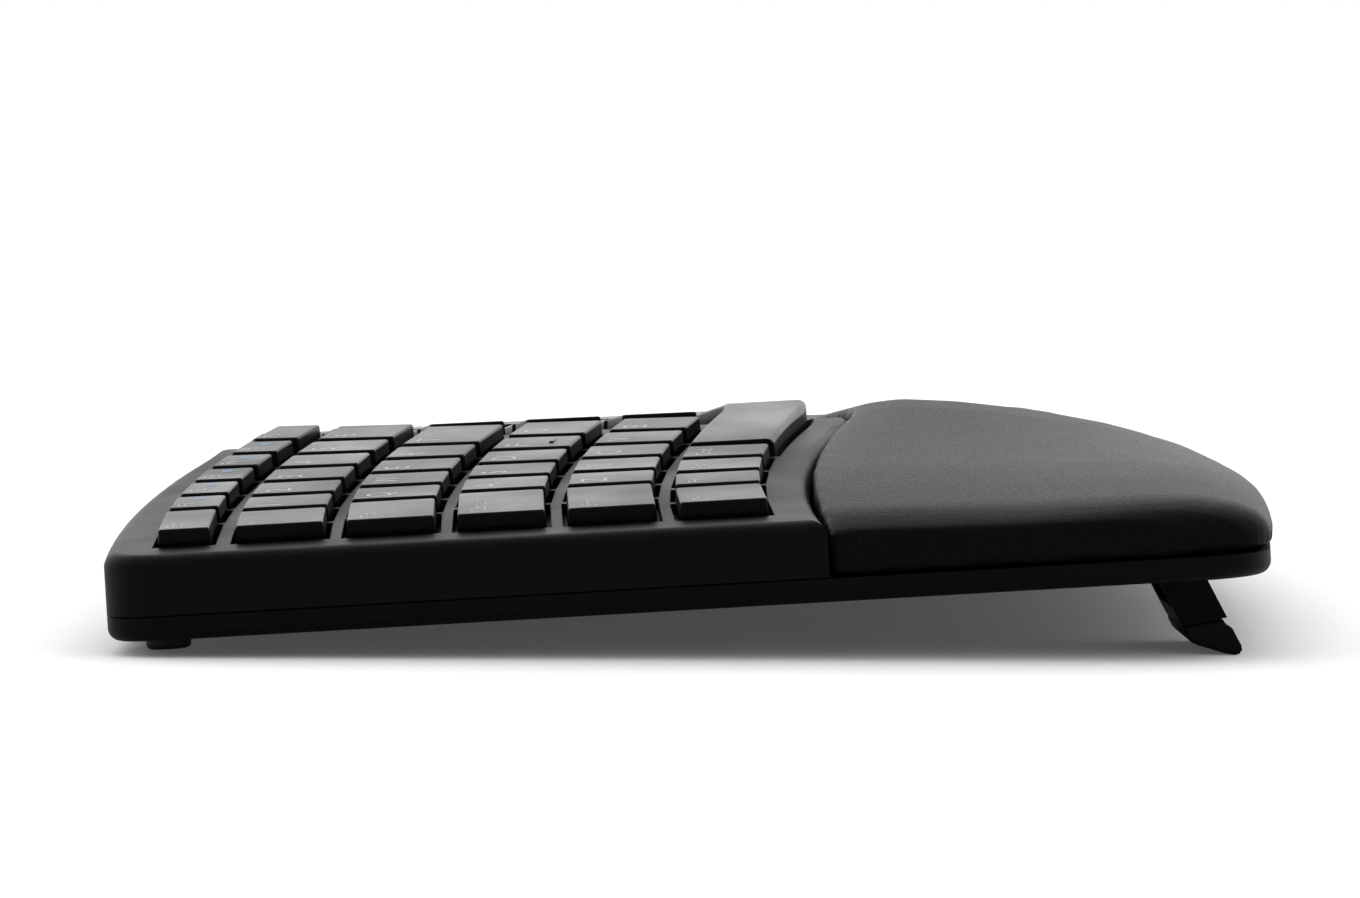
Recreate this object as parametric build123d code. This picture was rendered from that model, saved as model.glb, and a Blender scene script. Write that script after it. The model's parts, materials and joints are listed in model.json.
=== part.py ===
from build123d import *
from math import asin, atan, cos, degrees, radians, sin, sqrt, tan
import os

# Overall layout. X runs across the case, Y towards the rear, Z up, in millimetres.
# While it is built, x = 0 is the left edge of the key field, y = 0 the crown of the home row
# and z = 0 the underside of the tray. The finished parts are tilted onto their feet at the end.
side_margin = 9.5
tilt_angle = 3.55
key_pitch = 19.05
ridge_x = 137.5
right_block_end = 298.0
block_gap = 4.75
navigation_columns = 3
number_pad_columns = 4

# Curved rows
row_arc_radius = 517.0
row_apex_x = 27.0
function_row_pitch = 12.85
function_row_gap = 0.45
split_gap = 1.6

# Case
rear_edge_offset = 68.4
groove_offset = 54.3
tray_height = 4.1
tray_floor = 1.4
tray_wall = 1.8
tray_edge_radius = 2.2
seam_gap = 0.25
shell_wall = 2.0
shell_shoulder = 2.6
corner_radius = 9.0
groove_corner_radius = 1.5
valley_radius = 70.0

# Deck, the sloping surface of the shell around the keys
deck_edge_height = 14.88
deck_edge_slope = 0.068
deck_slope_gain = 0.000062
deck_fall = 0.005
ridge_round = 6.0
flat_blend = 35.0
deck_reach = 3.0

# Keys
key_gap = 4.1
key_rise = 3.0
key_skirt = 1.3
key_draft = 0.2
key_corner = 0.6
key_edge = 0.3
key_wall = 1.1
key_roof = 1.2
key_travel = 2.3
key_stem = 4.0
stem_drop = 5.2
well_clearance = 0.85
well_depth = 3.2
wide_key_width = 40.0
homing_bar_length = 4.5
homing_bar_width = 1.0
homing_bar_rise = 0.35

# Space bar
space_rise = 3.9
space_end_rise = 3.25
space_rear_edge = 0.6
space_front_edge = 1.5
space_front_extra = 0.6
space_stem_reach = 36.0

# Key guide, domes, circuit and backing, as depths under the deck
travel_clearance = 0.3
guide_thickness = 1.0
guide_rim = 1.4
guide_inset = 2.6
guide_bore_clearance = 0.3
sleeve_wall = 0.55
sleeve_rise = 2.9
boss_clearance = 0.6
dome_clearance = 0.3
dome_height = 2.9
dome_base_radius = 4.0
dome_top_radius = 2.6
dome_wall = 0.5
mat_thickness = 0.4
circuit_thickness = 0.3
backing_thickness = 0.8
stack_inset = 5.9
layer_gap = 0.1

# Fastening
boss_radius = 2.4
boss_inset = 4.2
screw_radius = 1.0
screw_length = 8.0
screw_head_radius = 1.9
screw_head_height = 1.3
screw_recess_radius = 2.3
screw_bore_clearance = 0.25
tower_wall = 1.3
rib_thickness = 1.4

# Battery and electronics
cell_radius = 5.2
cell_length = 44.0
cell_cap_radius = 1.9
cell_cap_length = 0.8
cell_gap = 1.0
cell_clearance = 0.4
cell_bay_wall = 1.2
battery_row_offset = 12.0
door_thickness = 1.2
door_clearance = 0.3
door_grip_depth = 0.5
door_grip_width = 1.2
contact_thickness = 0.4
contact_width = 7.0
contact_height = 7.5
contact_space = 2.4
board_length = 52.0
board_width = 26.0
board_thickness = 1.2
board_height = 4.2
board_offset = 34.0
chip_size = 9.0
chip_height = 1.1
connector_length = 24.0
connector_width = 3.2
connector_height = 1.5
post_radius = 2.0
switch_slot_length = 9.0
switch_slot_width = 3.4
switch_travel = 2.5
switch_flange = 1.2
switch_clearance = 0.3
light_radius = 1.2
light_bore_clearance = 0.1
light_length = 2.6

# Feet
foot_radius = 3.9
foot_height = 2.3
foot_round = 0.9
foot_inset = 14.5
foot_row_offset = 58.0
front_foot_offset = 92.0
front_foot_height = 1.2
front_foot_inset = 52.0

# Palm rest
palm_left_y = -130.4
palm_ridge_y = -142.0
palm_right_y = -127.0
palm_corner_radius = 13.0
palm_plate_thickness = 1.6
palm_plate_inset = 9.0
cushion_seam = 0.45
cushion_groove = 0.5
cushion_inset = 0.5
cushion_pinch = 1.3
cushion_rise = 1.7
cushion_crown = 1.0
cushion_sag = 2.4
cushion_stations = 18

# Flip-out legs
leg_inset = 15.5
leg_width = 30.0
leg_depth = 7.5
leg_length = 20.8
leg_heel = 14.4
leg_front_wall = 2.2
leg_cheek = 2.9
leg_lean = 24.6
leg_axis_y = -114.8
leg_axis_height = 3.9
leg_pin_radius = 1.5
leg_pin_length = 1.3
leg_pin_clearance = 0.06
leg_side_clearance = 0.4
leg_bay_clearance = 0.5
leg_tip_height = 4.2
leg_tip_round = 1.0
leg_web = 1.6
bay_wall = 1.3
bay_roof = 1.2

overrun = 1.0
deep_cut = 60.0

# Key widths as shares of the pitch, from the outer end of each left row to the ridge
left_function_shares = (1.53, 1, 1, 1, 1, 1, 1.18)
left_number_shares = (1.24, 1, 1, 1, 1, 1, 1.17)
left_upper_shares = (1.475, 1, 1, 1, 1, 1.5)
left_home_shares = (1.735, 1, 1, 1, 1, 1.15)
left_lower_shares = (1.735, 1, 1, 1, 1, 1.05)
left_bottom_shares = (1.31, 1, 1, 1)

# Right rows start at the ridge, and their last key takes what is left of the row
right_function_shares = (1,) * 7
right_number_shares = (1.05, 1, 1, 1, 1, 1)
right_upper_shares = (1,) * 7
right_home_shares = (1,) * 6
right_lower_shares = (1.2, 1, 1, 1, 1)
right_bottom_shares = (1.4,) * 3

# Rows as (pitches from the home row, left widths, left nodes, right widths, right nodes)
rows = {
    "number": (
        2,
        left_number_shares,
        ("grave_key",) + ("number_keys_left",) * 6,
        right_number_shares,
        ("number_keys_right",) * 6 + ("backspace_key",),
    ),
    "upper": (
        1,
        left_upper_shares,
        ("tab_key",) + ("upper_keys_left",) * 4 + ("t_key",),
        right_upper_shares,
        ("y_key",) + ("upper_keys_right",) * 6 + ("backslash_key",),
    ),
    "home": (
        0,
        left_home_shares,
        ("caps_lock_key",) + ("home_keys_left",) * 4 + ("g_key",),
        right_home_shares,
        ("h_key",) + ("home_keys_right",) * 5 + ("enter_key",),
    ),
    "lower": (
        -1,
        left_lower_shares,
        ("shift_key_left",) + ("lower_keys_left",) * 5,
        right_lower_shares,
        ("n_key",) + ("lower_keys_right",) * 4 + ("shift_key_right",),
    ),
    "bottom": (
        -2,
        left_bottom_shares,
        ("control_key_left",) + ("bottom_keys_left",) * 3,
        right_bottom_shares,
        ("bottom_keys_right",) * 3 + ("control_key_right",),
    ),
}
function_nodes_left = ("escape_key",) + ("function_keys_left",) * 6
function_nodes_right = ("function_keys_right",) * 8

# Rounding of the space bar's top edges, its end as (share of the edge, drop), and its stations
space_rounding_shares = (0, 0.25, 0.5, 0.75, 1)
space_end_drops = ((0, 1), (0.15, 0.47), (0.5, 0.13), (1, 0))
space_station_shares = (0.15, 0.3, 0.45, 0.6, 0.7, 0.78, 0.86, 0.93)

# Cushion outline across its depth: (share of depth, share of height at the ends, and at the ridge)
cushion_profile_shares = (
    (0, 0.93, 0.93),
    (0.02, 0.97, 0.965),
    (0.06, 1, 0.985),
    (0.13, 0.99, 1),
    (0.27, 0.96, 0.955),
    (0.4, 0.93, 0.885),
    (0.53, 0.9, 0.795),
    (0.65, 0.86, 0.69),
    (0.75, 0.82, 0.575),
    (0.84, 0.75, 0.445),
    (0.91, 0.64, 0.33),
    (0.96, 0.5, 0.22),
    (0.985, 0.36, 0.14),
    (1, 0.1, 0.06),
)

# Worked out from the sizes above
key_depth = key_pitch - key_gap
function_key_depth = function_row_pitch - key_gap
guide_depth = key_skirt + key_travel + travel_clearance
function_row_offset = 2 * key_pitch + (key_pitch + function_row_pitch) / 2 + function_row_gap
row_arc_centre_y = -row_arc_radius
right_apex_x = 2 * ridge_x - row_apex_x
navigation_x = right_block_end + block_gap
number_pad_x = navigation_x + navigation_columns * key_pitch + block_gap
case_left = -side_margin
case_right = number_pad_x + number_pad_columns * key_pitch + side_margin
shell_base = tray_height + seam_gap
mat_depth = stem_drop + dome_clearance + dome_height
circuit_depth = mat_depth + mat_thickness
backing_depth = circuit_depth + circuit_thickness
stack_depth = backing_depth + backing_thickness


# Deck heights
def slope_height(x):
    """Height of the deck at x before the ridge is rounded."""
    inward = ridge_x - abs(x - ridge_x)
    last = 2 * ridge_x - right_block_end
    if x <= ridge_x or inward >= last:
        return deck_edge_height + deck_edge_slope * inward + deck_slope_gain * inward * inward
    past = min(last - inward, flat_blend)
    slope = deck_edge_slope + 2 * deck_slope_gain * last
    start = deck_edge_height + deck_edge_slope * last + deck_slope_gain * last * last
    return start - slope * (past - past * past / (2 * flat_blend))


def deck_height(x):
    """Height of the finished deck at x on the home row."""
    away = abs(x - ridge_x)
    if away >= ridge_round:
        return slope_height(x)
    slope = deck_edge_slope + 2 * deck_slope_gain * ridge_x
    drop = slope * (ridge_round - away) ** 2 / (2 * ridge_round)
    return slope_height(x) - drop


def deck_slope(x):
    """Rise of the unrounded deck per millimetre of x."""
    step = key_gap
    if abs(x - ridge_x) < step:
        side = -1 if x < ridge_x else 1
        return (slope_height(x + side * step) - slope_height(x)) / (side * step)
    return (slope_height(x + step) - slope_height(x - step)) / (2 * step)


def deck_edge(drop, faceted):
    """Profile of the deck across the case, lowered by drop, smooth or in flat facets."""
    left = case_left - deck_reach
    right = case_right + deck_reach
    near_ridge = (-2 * ridge_round, -ridge_round, 0, ridge_round, 2 * ridge_round)
    stations = [left, ridge_x / 4, ridge_x / 2, ridge_x * 3 / 4]
    stations += [ridge_x + reach for reach in near_ridge]
    stations += [ridge_x * 5 / 4, ridge_x * 3 / 2, ridge_x * 7 / 4, right_block_end]
    stations += [right_block_end + flat_blend / 2, right_block_end + flat_blend]
    stations += [(right_block_end + flat_blend + right) / 2, right]
    rear = rear_edge_offset + deck_reach
    points = [(x, rear, deck_height(x) + deck_fall * rear - drop) for x in stations]
    return Polyline(*points) if faceted else Spline(*points)


def deck_band(top_drop, bottom_drop=None, faceted=True):
    """Solid between two levels under the deck, or down to below the case."""
    top = deck_edge(top_drop, faceted)
    start = top @ 0
    end = top @ 1
    if bottom_drop is None:
        low_start = Vector(start.X, start.Y, -deep_cut)
        low_end = Vector(end.X, end.Y, -deep_cut)
        wire = Wire([*top.edges(), Line(end, low_end), Line(low_end, low_start), Line(low_start, start)])
    else:
        base = deck_edge(bottom_drop, faceted)
        wire = Wire([*top.edges(), Line(end, base @ 1), *base.edges(), Line(base @ 0, start)])
    length = rear_edge_offset - palm_ridge_y + 2 * deck_reach
    return extrude(Face(wire), amount=length, dir=Vector(0, -1, -deck_fall))


# Plan outlines
def arc_y(offset, x):
    """Place in Y of the curved row that lies offset behind the home row."""
    x = min(x, right_apex_x)
    apex = row_apex_x if x <= ridge_x else right_apex_x
    radius = row_arc_radius + offset
    return row_arc_centre_y + sqrt(radius ** 2 - (x - apex) ** 2)


def valley_y(offset, x):
    """Place in Y of a curved row whose valley at the ridge is rounded."""
    radius = row_arc_radius + offset
    steepness = (ridge_x - row_apex_x) / radius
    half_width = valley_radius * steepness
    near = max(0, half_width - abs(x - ridge_x))
    return arc_y(offset, x) + steepness * near ** 2 / (2 * half_width)


def plan_face(rear, front, inset, corner=corner_radius, front_corner=groove_corner_radius):
    """Face between two curved rows, rear and front, drawn in by inset at the sides."""
    left = case_left + inset
    right = case_right - inset
    with BuildSketch() as sketch:
        with BuildLine():
            for offset in (rear, front):
                crest = (ridge_x, arc_y(offset, ridge_x))
                near = (left + crest[0]) / 2
                far = (crest[0] + right_apex_x) / 2
                flat = (right_apex_x, arc_y(offset, right_apex_x))
                ThreePointArc((left, arc_y(offset, left)), (near, arc_y(offset, near)), crest)
                ThreePointArc(crest, (far, arc_y(offset, far)), flat)
                Line(flat, (right, flat[1]))
            Line((left, arc_y(rear, left)), (left, arc_y(front, left)))
            Line((right, arc_y(rear, right_apex_x)), (right, arc_y(front, right_apex_x)))
        make_face()
        round_plan(sketch, corner, front_corner)
    return sketch.sketch


def round_plan(sketch, corner, front_corner):
    """Round the valleys of a plan at the ridge, then its rear corners and its front corners."""
    middle = [v for v in sketch.vertices() if abs(v.X - ridge_x) < overrun and v.Y > palm_left_y]
    fillet(middle, valley_radius)
    for place, radius in ((-1, corner), (0, front_corner)):
        if not radius:
            continue
        ends = sketch.vertices().group_by(Axis.X)
        picked = [group.sort_by(Axis.Y)[place] for group in (ends[0], ends[-1])]
        fillet(picked, radius)


def plan_block(rear, front, inset, low, high, **corners):
    """Upright block over a plan face."""
    return Pos(0, 0, low) * extrude(plan_face(rear, front, inset, **corners), amount=high - low)


def palm_front(inset):
    """Front edge of the palm rest, drawn in by inset."""
    middle_x = (case_left + ridge_x) / 2
    middle_y = (palm_left_y + palm_ridge_y) / 2 - corner_radius / 5
    far_x = (ridge_x + case_right) / 2
    far_y = (palm_ridge_y + palm_right_y) / 2 - corner_radius / 3
    return [
        (case_left + inset, palm_left_y + inset),
        (middle_x, middle_y + inset),
        (ridge_x, palm_ridge_y + inset),
        (far_x, far_y + inset),
        (case_right - inset, palm_right_y + inset),
    ]


def case_face(rear, inset, corner=corner_radius, front_corner=palm_corner_radius):
    """Whole plan of the case, or of its palm rest, from the row rear to the front edge."""
    left = case_left + inset
    right = case_right - inset
    with BuildSketch() as sketch:
        with BuildLine():
            crest = (ridge_x, arc_y(rear, ridge_x))
            near = (left + crest[0]) / 2
            far = (crest[0] + right_apex_x) / 2
            flat = (right_apex_x, arc_y(rear, right_apex_x))
            points = palm_front(inset)
            ThreePointArc((left, arc_y(rear, left)), (near, arc_y(rear, near)), crest)
            ThreePointArc(crest, (far, arc_y(rear, far)), flat)
            Line(flat, (right, flat[1]))
            Line((right, flat[1]), points[-1])
            Spline(*points)
            Line(points[0], (left, arc_y(rear, left)))
        make_face()
        round_plan(sketch, corner, front_corner)
    return sketch.sketch


# Key places. A place is a location whose origin lies on the deck, with its Z square to the key.
def key_place(x, y, turn):
    slope = deck_slope(x)
    height = slope_height(x) + deck_fall * y
    return Pos(x, y, height) * Rot(0, -degrees(atan(slope)), 0) * Rot(degrees(atan(deck_fall)), 0, -turn)


def arc_place(offset, run, apex, clamp):
    """Place on a curved row, run millimetres from the row's apex."""
    radius = row_arc_radius + offset
    if clamp and run > 0:
        return key_place(apex + run, row_arc_centre_y + radius, 0)
    angle = run / radius
    return key_place(apex + radius * sin(angle), row_arc_centre_y + radius * cos(angle), degrees(angle))


def left_row(offset, shares, nodes, depth):
    """Keys of a left row as (node, place, width, depth)."""
    radius = row_arc_radius + offset
    run = -radius * asin(row_apex_x / radius)
    keys = []
    for share, node in zip(shares, nodes):
        width = share * key_pitch
        place = arc_place(offset, run + width / 2, row_apex_x, False)
        keys.append((node, place, width - key_gap, depth))
        run += width
    end_x = row_apex_x + radius * sin(run / radius)
    return keys, end_x


def right_start(end_x):
    """Left end of a right row: the left row's end mirrored at the ridge, or just past it."""
    return max(end_x, 2 * ridge_x - end_x) + split_gap


def right_row(offset, shares, nodes, depth, start_x):
    """Keys of a right row, whose last key ends with the block."""
    radius = row_arc_radius + offset
    run = -radius * asin((right_apex_x - start_x) / radius)
    keys = []
    rest = right_block_end - right_apex_x - run - sum(shares) * key_pitch
    widths = [share * key_pitch for share in shares] + [rest]
    for width, node in zip(widths, nodes):
        place = arc_place(offset, run + width / 2, right_apex_x, True)
        keys.append((node, place, width - key_gap, depth))
        run += width
    return keys


def straight_keys(node, x, offset, columns, depth=key_depth, width=key_pitch):
    """A straight run of keys to the right of the curved rows."""
    keys = []
    for column in range(columns):
        middle = x + (column + 1 / 2) * width
        keys.append((node, key_place(middle, offset, 0), width - key_gap, depth))
    return keys


def all_keys():
    keys = []
    left, end_x = left_row(
        function_row_offset, left_function_shares, function_nodes_left, function_key_depth
    )
    keys += left
    start_x = right_start(end_x)
    keys += right_row(
        function_row_offset, right_function_shares, function_nodes_right, function_key_depth, start_x
    )
    for pitches, left_shares, left_nodes, right_shares, right_nodes in rows.values():
        offset = pitches * key_pitch
        left, end_x = left_row(offset, left_shares, left_nodes, key_depth)
        start_x = right_start(end_x)
        if left_nodes[-1] == "bottom_keys_left":
            start_x = 2 * ridge_x - end_x
        keys += left
        keys += right_row(offset, right_shares, right_nodes, key_depth, start_x)
    # Navigation keys and arrows
    keys += straight_keys(
        "navigation_keys", navigation_x, function_row_offset, navigation_columns, function_key_depth
    )
    keys += straight_keys("navigation_keys", navigation_x, 2 * key_pitch, navigation_columns)
    keys += straight_keys("navigation_keys", navigation_x, key_pitch, navigation_columns)
    keys += straight_keys("arrow_keys", navigation_x + key_pitch, -key_pitch, 1)
    keys += straight_keys("arrow_keys", navigation_x, -2 * key_pitch, navigation_columns)
    # Number pad
    keys += straight_keys(
        "number_pad_keys", number_pad_x, function_row_offset, number_pad_columns, function_key_depth
    )
    keys += straight_keys("number_pad_keys", number_pad_x, 2 * key_pitch, number_pad_columns)
    for pitches in (1, 0, -1):
        keys += straight_keys("number_pad_keys", number_pad_x, pitches * key_pitch, 3)
    last_column = number_pad_x + 3 * key_pitch
    tall = key_depth + key_pitch
    keys += straight_keys("number_pad_plus_key", last_column, key_pitch / 2, 1, tall)
    keys += straight_keys("number_pad_enter_key", last_column, -key_pitch * 3 / 2, 1, tall)
    keys += straight_keys("number_pad_zero_key", number_pad_x, -2 * key_pitch, 1, key_depth, 2 * key_pitch)
    keys += straight_keys("number_pad_keys", number_pad_x + 2 * key_pitch, -2 * key_pitch, 1)
    return keys


# Keycaps
def eight_sided(width, depth, corner, height):
    """Rectangle with cut corners at a height, as a face."""
    half_width = width / 2
    half_depth = depth / 2
    points = []
    for sx, sy in ((1, -1), (1, 1), (-1, 1), (-1, -1)):
        along = (sx * half_width, sy * (half_depth - corner))
        across = (sx * (half_width - corner), sy * half_depth)
        pair = (along, across) if sx == sy else (across, along)
        points += [(x, y, height) for x, y in pair]
    return Face(Wire.make_polygon(points, close=True))


def keycap(width, depth):
    """Hollow keycap with its stems, its origin on the deck."""
    flare = 2 * key_draft
    base = eight_sided(width + flare, depth + flare, key_corner, -key_skirt)
    upper = eight_sided(width, depth, key_corner, key_rise - key_edge)
    top = eight_sided(width - 2 * key_edge, depth - 2 * key_edge, key_corner / 2, key_rise)
    cap = Solid.make_loft([base.outer_wire(), upper.outer_wire()], True)
    cap += Solid.make_loft([upper.outer_wire(), top.outer_wire()], True)
    hollow_height = key_rise - key_roof + key_skirt + overrun
    hollow = Box(width - 2 * key_wall, depth - 2 * key_wall, hollow_height)
    cap -= Pos(0, 0, key_rise - key_roof - hollow_height / 2) * hollow
    for x, y in stem_places(width, depth):
        stem_length = key_rise - key_roof + stem_drop
        cap += Pos(x, y, stem_length / 2 - stem_drop) * Box(key_stem, key_stem, stem_length)
    return cap


def stem_places(width, depth):
    """Stems under a key: one, or two on a key much longer than the others."""
    if width > wide_key_width:
        return [(-width / 4, 0), (width / 4, 0)]
    if depth > wide_key_width * 3 / 4:
        return [(0, -depth / 4), (0, depth / 4)]
    return [(0, 0)]


def homing_bar(depth):
    """Raised bar near the front edge of a home key."""
    place = Pos(0, homing_bar_length - depth / 2 + key_edge, key_rise + homing_bar_rise / 2)
    return place * Box(homing_bar_length, homing_bar_width, homing_bar_rise)


def space_plan(rear, front, end_x):
    """Plan of the space bar, mirrored at the ridge."""
    far_x = 2 * ridge_x - end_x
    with BuildSketch() as sketch:
        with BuildLine():
            for offset in (rear, front):
                crest = (ridge_x, arc_y(offset, ridge_x))
                near = (end_x + ridge_x) / 2
                far = (far_x + ridge_x) / 2
                ThreePointArc((end_x, arc_y(offset, end_x)), (near, arc_y(offset, near)), crest)
                ThreePointArc(crest, (far, arc_y(offset, far)), (far_x, arc_y(offset, far_x)))
            Line((end_x, arc_y(rear, end_x)), (end_x, arc_y(front, end_x)))
            Line((far_x, arc_y(rear, far_x)), (far_x, arc_y(front, far_x)))
        make_face()
        valleys = [v for v in sketch.vertices() if abs(v.X - ridge_x) < overrun]
        fillet(valleys, valley_radius)
    return sketch.sketch


def space_wire(x, rear, front, top_rise, bottom_rise, rounding):
    """Closed outline of the space bar across its depth at x, with rounded top edges."""
    rear_y = valley_y(rear, x)
    front_y = valley_y(front, x)
    points = [(rear_y, bottom_rise)]
    for share in space_rounding_shares:
        angle = radians(90) * share
        inset = rounding * space_rear_edge * (1 - cos(angle))
        points.append((rear_y - inset, top_rise - rounding * space_rear_edge * (1 - sin(angle))))
    for share in reversed(space_rounding_shares):
        angle = radians(90) * share
        inset = rounding * space_front_edge * (1 - cos(angle))
        points.append((front_y + inset, top_rise - rounding * space_front_edge * (1 - sin(angle))))
    points.append((front_y, bottom_rise))
    corners = [(x, y, deck_height(x) + deck_fall * y + rise) for y, rise in points]
    return Wire.make_polygon(corners, close=True)


def space_loft(rear, front, end_x, top_rise, bottom_rise, end_drops):
    """Body along the space bar through sections from one end to the other."""
    half = ridge_x - end_x
    near_end = [(share * key_edge, drop) for share, drop in end_drops]
    spread = [(share * half, 0) for share in space_station_shares]
    left = [(end_x + run, drop) for run, drop in near_end + spread]
    right = [(2 * ridge_x - x, drop) for x, drop in reversed(left)]
    rounding = 1 if end_drops[0][1] else 0
    wires = []
    for x, drop in left + [(ridge_x, 0)] + right:
        sink = (space_rise - space_end_rise) * abs(x - ridge_x) / half
        wires.append(space_wire(x, rear, front, top_rise - sink - drop * key_edge, bottom_rise, rounding))
    return Solid.make_loft(wires, True)


def space_reach():
    """Front and rear rows of the space bar and the x of its left end."""
    radius = row_arc_radius - 2 * key_pitch
    run = sum(left_bottom_shares) * key_pitch + key_gap / 2 - radius * asin(row_apex_x / radius)
    end_x = row_apex_x + radius * sin(run / radius)
    rear = -2 * key_pitch + key_depth / 2
    front = -2 * key_pitch - key_depth / 2 - space_front_extra
    return rear, front, end_x


def space_stem_places():
    for side in (-1, 1):
        x = ridge_x + side * space_stem_reach
        yield x, arc_y(-2 * key_pitch, x)


def space_bar():
    rear, front, end_x = space_reach()
    bar = space_loft(rear, front, end_x, space_rise, -key_skirt, space_end_drops)
    room_top = space_rise - key_roof
    room = space_loft(rear - key_wall, front + key_wall, end_x + key_wall, room_top, -well_depth, ((0, 0),))
    bar -= room
    for x, y in space_stem_places():
        stem_length = space_end_rise - key_roof / 2 + stem_drop
        stem = Pos(0, 0, stem_length / 2 - stem_drop) * Box(key_stem, key_stem, stem_length)
        bar += key_place(x, y, 0) * stem
    return bar


# Case parts
def boss_places():
    """Screw bosses along the rear and front margins of the shell."""
    places = []
    ends = (case_left + 2 * side_margin, case_right - 2 * side_margin)
    for x in ends + (ridge_x / 2, right_apex_x, navigation_x):
        places.append((x, arc_y(rear_edge_offset - boss_inset, x)))
        places.append((x, arc_y(boss_inset - groove_offset, x)))
    return places


def leg_places():
    """Left end of each leg."""
    yield case_left + leg_inset
    yield case_right - leg_inset - leg_width


def cell_places():
    """Middle of each battery cell."""
    y = arc_y(battery_row_offset, ridge_x)
    for side in (-1, 1):
        yield ridge_x, y + side * (cell_radius + cell_gap / 2)


cell_axis_height = door_thickness + cell_clearance + cell_radius
bay_length = cell_length + cell_cap_length + 2 * contact_space
bay_width = 4 * cell_radius + cell_gap + 2 * cell_clearance
bay_y = arc_y(battery_row_offset, ridge_x)
door_length = bay_length - 2 * door_clearance
switch_x = ridge_x + bay_length / 2 + board_length / 2 + side_margin
board_y = arc_y(board_offset, ridge_x)


def leg_bay(x, clearance, wall, low, high):
    """Block around a leg's bay in the tray, as wide as the leg and as long as it folds."""
    lean = radians(leg_lean)
    front = leg_axis_y - leg_depth / 2 / cos(lean) - leg_axis_height * tan(lean) - clearance - wall
    rear = leg_axis_y + leg_length + clearance + wall
    width = leg_width + 2 * (leg_side_clearance + wall)
    middle = Pos(x + leg_width / 2, (front + rear) / 2, (low + high) / 2)
    return middle * Box(width, rear - front, high - low)


def bottom_tray():
    outer = extrude(case_face(rear_edge_offset, 0), amount=tray_height)
    rim = outer.faces().sort_by(Axis.Z)[0].outer_wire().edges()
    outer = outer.fillet(tray_edge_radius, rim)
    inner_corner = corner_radius - tray_wall
    inner_front = palm_corner_radius - tray_wall
    inner = case_face(rear_edge_offset - tray_wall, tray_wall, inner_corner, inner_front)
    tray = outer - Pos(0, 0, tray_floor) * extrude(inner, amount=tray_height)
    room = Pos(0, 0, tray_floor) * extrude(inner, amount=deep_cut) & deck_band(stack_depth + layer_gap)
    additions = []
    cuts = []
    # Support ribs under the backing plates
    left_ribs = (ridge_x / 4, ridge_x * 3 / 5)
    for x in left_ribs + (right_apex_x - side_margin, navigation_x - block_gap, number_pad_x):
        length = key_pitch * len(rows)
        rib = Pos(x, 0, deep_cut / 2) * Box(rib_thickness, length, deep_cut)
        additions.append(rib & room)
    # Bays for the legs
    bay_top = leg_axis_height + leg_depth / 2 + leg_bay_clearance
    for x in leg_places():
        additions.append(leg_bay(x, leg_bay_clearance, bay_wall, 0, bay_top + bay_roof))
        cuts.append(leg_bay(x, leg_bay_clearance, 0, -overrun, bay_top))
        bore_length = leg_width + 2 * (leg_side_clearance + bay_wall + overrun)
        bore = Rot(0, 90, 0) * Cylinder(leg_pin_radius + leg_pin_clearance, bore_length)
        cuts.append(Pos(x + leg_width / 2, leg_axis_y, leg_axis_height) * bore)
    # Battery bay with its end walls
    wall_height = cell_axis_height + cell_radius
    bay = Pos(ridge_x, bay_y, wall_height / 2)
    outer_bay = Box(bay_length + 2 * cell_bay_wall, bay_width + 2 * cell_bay_wall, wall_height)
    additions.append(bay * outer_bay)
    cuts.append(Pos(ridge_x, bay_y, wall_height / 2) * Box(bay_length, bay_width, wall_height + 2 * overrun))
    # Posts for the board, and the slot of the power switch
    for sx in (-1, 1):
        for sy in (-1, 1):
            x = switch_x + sx * (board_length / 2 - 2 * post_radius)
            y = board_y + sy * (board_width / 2 - 2 * post_radius)
            additions.append(Pos(x, y, board_height / 2) * Cylinder(post_radius, board_height))
    cuts.append(Pos(switch_x, board_y, 0) * Box(switch_slot_length, switch_slot_width, deep_cut / 4))
    # Screw towers
    for x, y in boss_places():
        radius = screw_recess_radius + tower_wall
        additions.append(Pos(x, y, tray_height / 2) * Cylinder(radius, tray_height))
        recess_height = screw_head_height + door_thickness
        recess = Cylinder(screw_recess_radius, recess_height + overrun)
        cuts.append(Pos(x, y, recess_height / 2 - overrun / 2) * recess)
        cuts.append(Pos(x, y, tray_height) * Cylinder(screw_radius + screw_bore_clearance, 2 * tray_height))
    tray += additions
    tray -= cuts
    return tray


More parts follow.
